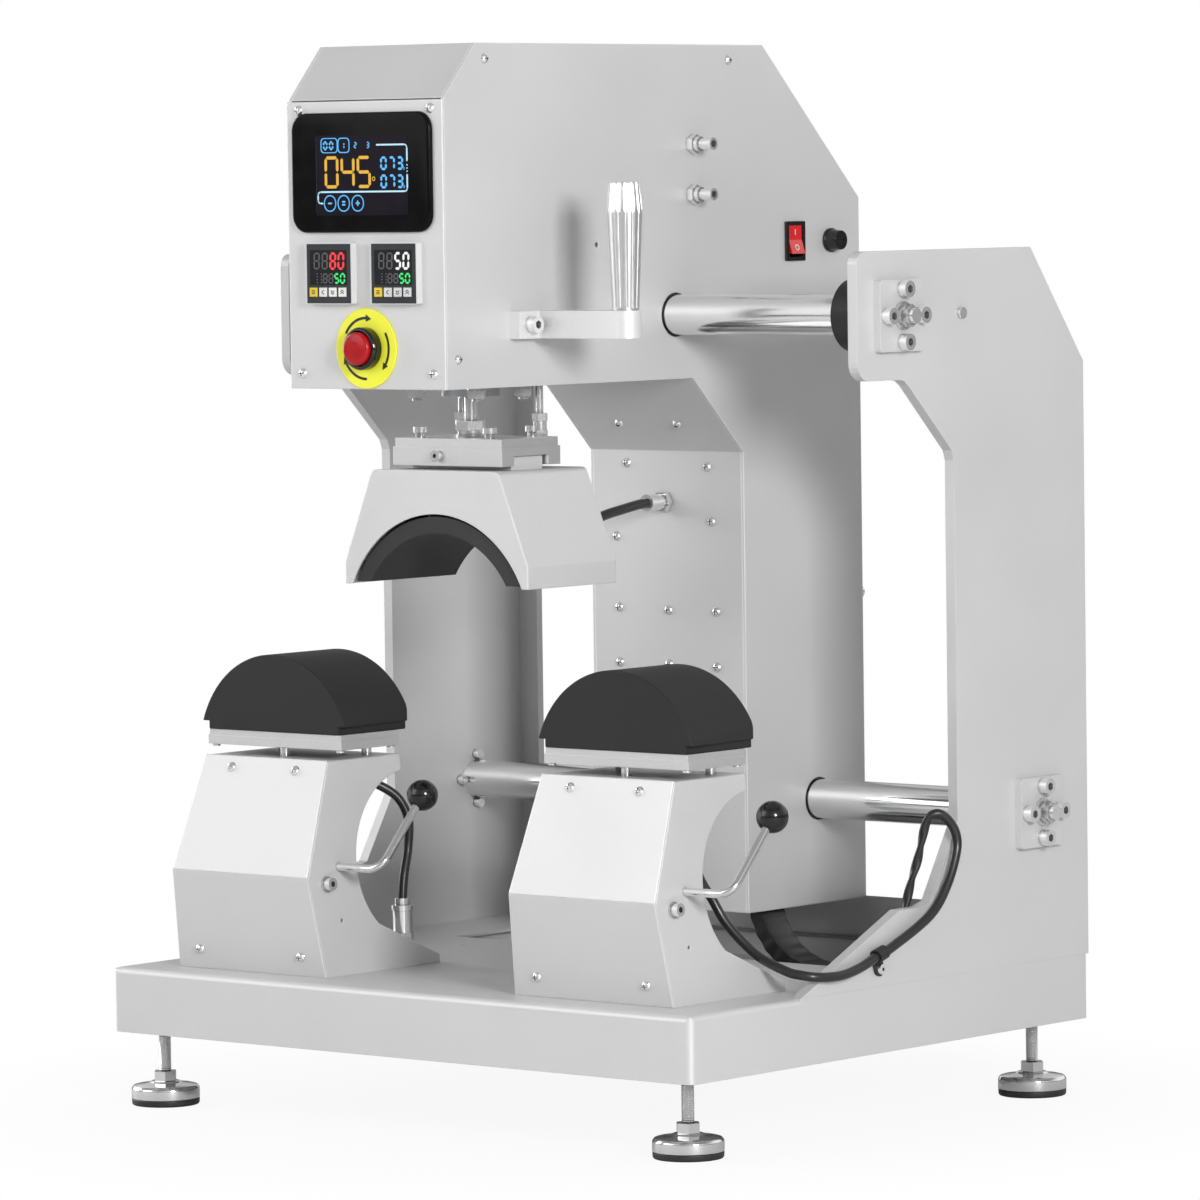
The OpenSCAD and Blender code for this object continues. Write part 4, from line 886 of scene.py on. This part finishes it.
def key_mark(kind, cx, cz, y_front):
    """Small generic sign on a key."""
    lines = {"dash": [((-1.8, 0), (1.8, 0)), ((-1.8, 1.2), (1.8, 1.2)), ((-1.8, -1.2), (1.8, -1.2))],
             "left": [((1.2, 1.8), (-1.4, 0)), ((-1.4, 0), (1.2, -1.8))],
             "down": [((-1.8, 1.4), (0, -0.2)), ((0, -0.2), (1.8, 1.4)), ((-1.8, -0.2), (0, -1.8)),
                      ((0, -1.8), (1.8, -0.2))],
             "up": [((-1.8, -1.4), (0, 0.2)), ((0, 0.2), (1.8, -1.4)), ((-1.8, 0.2), (0, 1.8)),
                    ((0, 1.8), (1.8, 0.2))]}[kind]
    return join([moved(stroke(a, b, 0.6, 0.12, 0), (cx, y_front, cz)) for a, b in lines])


def row_figures(text, left, row, stroke_width, y_front):
    low, w, h, gap = row
    return digits(text, left, low, w, h, stroke_width, gap, y_front, 0.1, LEAN)


def make_controller(side, name, upper, upper_look, lower):
    """Dark face of one temperature controller with lit and unlit figures."""
    cx = side * CONTROLLER_X
    front = FRONT_Y - CONTROLLER_OUT
    keys = [cx + (i - 1.5) * KEY_STEP for i in range(4)]
    half_w, half_h = KEY_W / 2 + KEY_GAP, KEY_H / 2 + KEY_GAP
    windows = [(kx - half_w, kx + half_w, KEY_Z - half_h, KEY_Z + half_h) for kx in keys]
    top = front - FACE_OUT
    face = plate_with_windows(cx + FACE_LEFT, cx + FACE_RIGHT, FACE_LOW, FACE_TOP, windows, top, front)
    pane = shifted(round_outline(PANE_W, PANE_H, 1, 2), cx + PANE_X, PANE_Z)
    window = front_prism(pane, top - PANE_OUT, top)
    out = top - FIGURES_OUT
    left = cx + FIGURES_LEFT
    unlit = 4 - len(upper)
    lit_upper = left + unlit * (UPPER_ROW[1] + UPPER_ROW[3])
    low_left = left + LOWER_START
    lit_lower = low_left + 2 * (LOWER_ROW[1] + LOWER_ROW[3])
    marks = [((left + px, LOWER_ROW[0] + pz), (left + px + 1.7, LOWER_ROW[0] + pz))
             for px in (2.2, 6.6) for pz in (0.2, 2.4, 4.6, 6.8)]
    dim = join([row_figures("8888"[:unlit], left, UPPER_ROW, 1.3, out),
                row_figures("88", low_left, LOWER_ROW, 1.1, out),
                *[stroke(a, b, 1.0, 0.1, out) for a, b in marks]])
    looks = {"face": (face, FACE_GREY), "window": (window, DARK_WINDOW), "unlit": (dim, DIM_SEGMENT),
             "upper": (row_figures(upper, lit_upper, UPPER_ROW, 2.0, out), upper_look),
             "lower": (row_figures(lower, lit_lower, LOWER_ROW, 1.6, out), LIT_GREEN)}
    for part_name, (part, look) in looks.items():
        add_piece(name + "_" + part_name, scaled(part), look, "carriage")
    for i, kind in enumerate(("dash", "left", "down", "up")):
        key = "key_" + ("l" if side < 0 else "r") + str(i + 1)
        mark = key_mark(kind, keys[i], KEY_Z, front - KEY_OUT - 0.1)
        add_piece(key + "_mark", scaled(mark), BLACK_MARK, key + "_body")


make_controller(-1, "left_controller", "80", LIT_RED, "50")
make_controller(1, "right_controller", "50", LIT_WHITE, "50")

# ---------------------------------------------------------------- stop button and switch

STOP_Z = 611.5
RING_R = 31
COLLAR_R = 16.5
BUTTON_R = 12.75


def turned(name, profile, origin, axis, material, body, radius, sides=96):
    """A turned piece from a closed profile of (along, radius) points in millimetres."""
    part = lathe([(a * MM, r * MM) for a, r in bend(profile, radius)], origin, axis, sides)
    return add_piece(name, part, material, body, 40)


def arrow_arc(r, start, end, width, head, y_front, depth):
    """A bent arrow in the XZ plane about the origin, between two angles in degrees."""
    steps = 14
    turns = [math.radians(start + (end - start) * i / steps) for i in range(steps + 1)]
    tip = turns[-1] + math.copysign(head / r, end - start)

    def point(radius, a):
        return radius * math.cos(a), radius * math.sin(a)

    flat = [point(r + width / 2, a) for a in turns]
    flat += [point(r + width * 1.4, turns[-1]), point(r, tip), point(r - width * 1.4, turns[-1])]
    flat += [point(r - width / 2, a) for a in reversed(turns)]
    verts = [Vector((px, yy, pz)) for yy in (y_front, y_front + depth) for px, pz in flat]
    return verts, skin(2, len(flat))


def make_stop_button():
    centre = at(0, FRONT_Y, STOP_Z)
    ring = turned("stop_ring", [(0, 11.3), (1.5, 11.3), (1.5, RING_R), (0, RING_R), (0, 11.3)], centre,
                  FORWARD, MAT["estop_yellow"], "carriage", 0.4)
    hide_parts("estop_bezel")
    turned("stop_collar", [(-18, 11), (1.5, 11), (1.5, COLLAR_R), (9.2, COLLAR_R), (11, 15.2),
                           (11, BUTTON_R + 0.9), (3.5, BUTTON_R + 0.9), (3.5, 7.1), (-18, 7.1), (-18, 11)],
           centre, FORWARD, MAT["switch_black"], "carriage", 0.8)
    cap = turned("stop_cap", [(-20, 0), (-20, 6.9), (8, 6.9), (8, BUTTON_R), (13.6, BUTTON_R),
                              (15.0, 11.4), (15.5, 6), (15.5, 0)],
                 centre, FORWARD, MAT["button_red"], "stop_button", 1.0)
    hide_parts("estop_button")
    block = front_prism(shifted(round_outline(28, 36, 2, 3), 0, STOP_Z), 14, 44)
    add_piece("stop_contact_block", scaled(block), MAT["switch_black"], "carriage",
              40)
    arrows = join([arrow_arc(23.5, a, a - 62, 2.0, 5.5, FRONT_Y - 1.75, 0.25) for a in (151, 31, 271)])
    add_piece("stop_ring_arrows", scaled(moved(arrows, (0, 0, STOP_Z))), BLACK_MARK, "carriage")


make_stop_button()

# ---------------------------------------------------------------- silicone pads

PAD_Y0 = 62
PAD_Y1 = 143
PAD_Z = 283
PAD_LOW = 308.5
PAD_R = 81
PAD_CUT = 77
FLAP_HALF = 70
FLAP_Z = 302
DRAW_IN = 5
PAD_ROWS = 10
PAD_EDGE = 1.3


def pad_outline():
    """D-shaped section: the dome, its short lower edges and the flap below."""
    a0 = math.asin((PAD_LOW - PAD_Z) / PAD_R)
    out = [(-FLAP_HALF, FLAP_Z), (FLAP_HALF, FLAP_Z), (FLAP_HALF, PAD_LOW)]
    steps = 40
    for i in range(steps + 1):
        a = a0 + (math.pi - 2 * a0) * i / steps
        out.append((PAD_R * math.cos(a), PAD_Z + PAD_R * math.sin(a)))
    out.append((-FLAP_HALF, PAD_LOW))
    return out


def make_pad(side, name):
    """Silicone pad with softly rounded edges, its sides cut back towards the rear."""
    outline = pad_outline()
    verts = []
    for i in range(PAD_ROWS + 1):
        share = i / PAD_ROWS
        depth = PAD_Y0 + (PAD_Y1 - PAD_Y0) * share
        limit = PAD_CUT - DRAW_IN * share
        verts += [Vector((max(-limit, min(limit, px)) + side * STATION_X, depth, pz)) for px, pz in outline]
    obj = add_piece(name, scaled((verts, skin(PAD_ROWS + 1, len(outline)))), MAT["pad_silicone"],
                    "frame", 30)
    edge = obj.modifiers.new("soft_edge", "BEVEL")
    edge.width = PAD_EDGE * MM
    edge.segments = 3
    edge.limit_method = "ANGLE"
    edge.angle_limit = math.radians(28)
    return obj


left_pad = make_pad(-1, "left_pad")
make_pad(1, "right_pad")
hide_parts("silicone_pads")

# ---------------------------------------------------------------- levelling feet

FOOT_SPOTS = {"front_left": (-272, 30), "front_right": (272, 30), "back_left": (-272, 467),
              "back_right": (272, 467)}
FOOT_R = 27.5
STUD_R = 5
STUD_TOP = 82
THREAD_PITCH = 1.5
THREAD_DEPTH = 0.5
NUT_ACROSS = 17
NUT_LOW = 19
NUT_TOP = 27
NUT_CHAMFER = 0.6
UP = (0, 0, 1)


def hexagon(across, z0, z1, centre):
    """Hexagon nut with chamfered corners, along Z."""
    r = across / math.sqrt(3)
    rise = NUT_CHAMFER * 0.6
    layers = [(z0, r - NUT_CHAMFER), (z0 + rise, r), (z1 - rise, r), (z1, r - NUT_CHAMFER)]
    verts = []
    for z, radius in layers:
        for i in range(6):
            a = math.radians(60 * i + 12)
            verts.append(Vector((centre[0] + radius * math.cos(a), centre[1] + radius * math.sin(a), z)))
    return verts, skin(len(layers), 6)


def threaded(z0, z1, centre):
    """A stud with rings cut like a thread."""
    root = STUD_R - THREAD_DEPTH
    profile = [(z0, 0), (z0, root)]
    z = z0 + THREAD_PITCH / 2
    while z < z1 - THREAD_PITCH:
        profile += [(z, STUD_R), (z + THREAD_PITCH / 2, root)]
        z += THREAD_PITCH
    profile += [(z1, root), (z1, 0)]
    return lathe(profile, Vector((*centre, 0)), UP, 24)


def make_foot(where, spot):
    node = "foot_" + where
    body = node + "_body"
    base = at(*spot, 0)
    cup = turned(node + "_cup", [(5.4, 0), (5.4, FOOT_R - 1.2), (5.4, FOOT_R), (13.4, FOOT_R),
                                 (15.6, FOOT_R - 1.6), (16.6, FOOT_R - 6), (17.6, 13), (19, 11.5), (19, 0)],
                 base, UP, MAT["foot_chrome"], body, 0.9, 72)
    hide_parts(node)
    turned(node + "_rubber", [(0, 0), (0, FOOT_R - 1.2), (1.2, FOOT_R - 0.3), (4.6, FOOT_R - 0.1),
                              (5.4, FOOT_R - 0.8), (5.4, 0)],
           base, UP, MAT["black_rubber"], body, 0.5, 72)
    add_piece(node + "_nut", scaled(hexagon(NUT_ACROSS, NUT_LOW, NUT_TOP, spot)), MAT["foot_chrome"],
              body, 30)
    add_piece(node + "_stud", scaled(threaded(NUT_TOP, STUD_TOP, spot)), MAT["screw_steel"], body,
              60)


for foot_name, foot_place in FOOT_SPOTS.items():
    make_foot(foot_name, foot_place)

# ---------------------------------------------------------------- cable chain

CHAIN_Y0 = 372
CHAIN_Y1 = 402
CHAIN_X = 126
CHAIN_Z = 160.2
CHAIN_R = 63
CHAIN_HALF = 7
CHAIN_END = 211
CHAIN_STEP = 2
LINK_STEP = 13.5


def chain_path():
    """Centre line of the chain: down from the carriage, round a bend and along the trough."""
    points = []
    steps = 60
    for i in range(steps + 1):
        a = math.radians(180 + 90 * i / steps)
        points.append(Vector((CHAIN_X + CHAIN_R * math.cos(a), CHAIN_Z + CHAIN_R * math.sin(a))))
    while points[-1].x < CHAIN_END:
        points.append(Vector((min(CHAIN_END, points[-1].x + CHAIN_STEP), CHAIN_Z - CHAIN_R)))
    return points


def make_chain():
    """A closed dark band of links that narrows a little at each joint."""
    path = chain_path()
    run = runs_of(path)
    ring = [(-1, -1), (-0.8, -1.12), (0.8, -1.12), (1, -1), (1, 1), (0.8, 1.12), (-0.8, 1.12), (-1, 1)]
    middle, wide = (CHAIN_Y0 + CHAIN_Y1) / 2, (CHAIN_Y1 - CHAIN_Y0) / 2
    verts = []
    for i, p in enumerate(path):
        ahead = (path[min(i + 1, len(path) - 1)] - path[max(i - 1, 0)]).normalized()
        n = Vector((-ahead.y, ahead.x))
        joint = 0.5 + 0.5 * math.cos(2 * math.pi * run[i] / LINK_STEP)
        half = CHAIN_HALF / 1.12 * (1 - 0.05 * joint)
        for sy, sn in ring:
            q = p + n * sn * half
            verts.append(Vector((q.x, middle + sy * (wide - 0.7 * joint), q.y)))
    obj = add_piece("cable_chain", scaled((verts, skin(len(path), len(ring)))), MAT["chain_nylon"],
                    None, 35)
    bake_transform(obj)
    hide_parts("drag_chain")


make_chain()

# ---------------------------------------------------------------- switch marks

ROCK_X = 76
ROCK_Y = 414
ROCK_Z = 687
ROCK_OUT = 5.5
ROCK_TILT = math.radians(9)
MARK_LOW = 0.02
MARK_TOP = 0.16
OFF_R = 2.1
OFF_DOWN = 6.2


def rocker_point(across, up, out):
    """A point on the rocker's face, which leans to each side of its middle and is tipped as a whole."""
    px = ROCK_OUT + abs(up) * math.tan(ROCK_TILT) + out
    c, s = math.cos(ROCK_TILT), math.sin(ROCK_TILT)
    return Vector((ROCK_X + px * c - up * s, ROCK_Y + across, ROCK_Z + up * c + px * s))


def rocker_bar(points, width):
    """Flat closed ribbon along (across, up) points on the rocker's face."""
    verts = []
    for i, (across, up) in enumerate(points):
        d = Vector(points[min(i + 1, len(points) - 1)]) - Vector(points[max(i - 1, 0)])
        n = Vector((-d.y, d.x)).normalized() * width / 2
        for sign, out in ((-1, MARK_LOW), (-1, MARK_TOP), (1, MARK_TOP), (1, MARK_LOW)):
            verts.append(rocker_point(across + n.x * sign, up + n.y * sign, out))
    return verts, skin(len(points), 4)


def make_switch_marks():
    """The plain bar and ring of a power switch."""
    turns = [math.radians(12 * i) for i in range(31)]
    circle = [(OFF_R * math.cos(a), OFF_R * math.sin(a) - OFF_DOWN) for a in turns]
    marks = join([rocker_bar([(0, 4), (0, 8.4)], 0.9), rocker_bar(circle, 0.8)])
    add_piece("rocker_marks", scaled(marks), WHITE_MARK, "power_rocker")


make_switch_marks()

# ---------------------------------------------------------------- stage and light

FLOOR_HALF = 6.0
FLOOR_NEAR = 0.36
FLOOR_FAR = 0.6
DOME = 0.32
AIM = (0, 0, 0.42)
# Grey levels that shiny parts see: from straight down to straight up, and once round.
BANDS = [(0.0, 0.55), (0.44, 0.5), (0.49, 0.16), (0.54, 0.3), (0.62, 1.0), (0.80, 0.95), (0.88, 0.35),
         (1.0, 0.6)]
PANELS = [(0.0, 1.0), (0.06, 0.25), (0.12, 0.9), (0.2, 1.0), (0.3, 0.3), (0.42, 0.95), (0.55, 0.4),
          (0.66, 1.0), (0.78, 1.0), (0.86, 0.3), (0.93, 1.0)]


def seen_directly(tree):
    """1 for camera rays and for rays through glass."""
    path = tree.nodes.new("ShaderNodeLightPath")
    return math_node(tree, "MAXIMUM", path.outputs["Is Camera Ray"], path.outputs["Is Transmission Ray"])


def pale_floor():
    """A white floor: the camera sees it nearly white, with faint shadows close to the feet only."""
    half = FLOOR_HALF
    mesh = bpy.data.meshes.new("floor")
    mesh.from_pydata([(-half, -half, 0), (half, -half, 0), (half, half, 0), (-half, half, 0)], [],
                     [(0, 1, 2, 3)])
    floor = bpy.data.objects.new("floor", mesh)
    scene.collection.objects.link(floor)
    m, tree, shader = new_material("floor_white", grey(0.86), 0.7)
    lift = tree.nodes.new("ShaderNodeEmission")
    away = tree.nodes.new("ShaderNodeVectorMath")
    away.operation = "LENGTH"
    link(tree, coords(tree), away.inputs[0])
    fade = span(tree, away.outputs["Value"], 0.92, 1.0, FLOOR_NEAR, FLOOR_FAR)
    mix = tree.nodes.new("ShaderNodeMixShader")
    link(tree, math_node(tree, "MULTIPLY", seen_directly(tree), fade), mix.inputs["Fac"])
    link(tree, shader.outputs[0], mix.inputs[1])
    link(tree, lift.outputs[0], mix.inputs[2])
    link(tree, mix.outputs[0], tree.nodes["Material Output"].inputs["Surface"])
    mesh.materials.append(m)


def studio_world():
    """White for the camera, a soft dome for diffuse light, bright and dark bands for reflections."""
    world = bpy.data.worlds.new("studio")
    scene.world = world
    world.use_nodes = True
    tree = world.node_tree
    path = tree.nodes.new("ShaderNodeLightPath")
    where = tree.nodes.new("ShaderNodeTexCoord")
    apart = tree.nodes.new("ShaderNodeSeparateXYZ")
    link(tree, where.outputs["Generated"], apart.inputs["Vector"])
    around = tree.nodes.new("ShaderNodeTexGradient")
    around.gradient_type = "RADIAL"
    link(tree, where.outputs["Generated"], around.inputs["Vector"])
    bands = ramp(tree, span(tree, apart.outputs["Z"], 0, 1, -1, 1), [(p, grey(v)) for p, v in BANDS])
    panels = ramp(tree, around.outputs["Fac"], [(p, grey(v)) for p, v in PANELS])
    room = mix_color(tree, 0.75, bands, panels, "MULTIPLY")
    shine = mix_color(tree, path.outputs["Is Glossy Ray"], (*grey(DOME), 1), room)
    final = mix_color(tree, seen_directly(tree), shine, (1, 1, 1, 1))
    link(tree, final, tree.nodes["Background"].inputs["Color"])


def area_light(name, place, size, power):
    data = bpy.data.lights.new(name, "AREA")
    data.energy = power
    data.size = size
    lamp = bpy.data.objects.new(name, data)
    scene.collection.objects.link(lamp)
    lamp.location = place
    lamp.rotation_euler = (Vector(AIM) - Vector(place)).to_track_quat("-Z", "Y").to_euler()


studio_world()
pale_floor()
area_light("main", (3.56, -1.8, 1.42), 0.9, 108)
area_light("front", (-2.0, -3.6, 1.9), 2.4, 33)
area_light("left", (-3.6, -0.6, 1.4), 2.0, 60)

scene.view_settings.view_transform = "Standard"
scene.cycles.caustics_reflective = False
scene.cycles.caustics_refractive = False
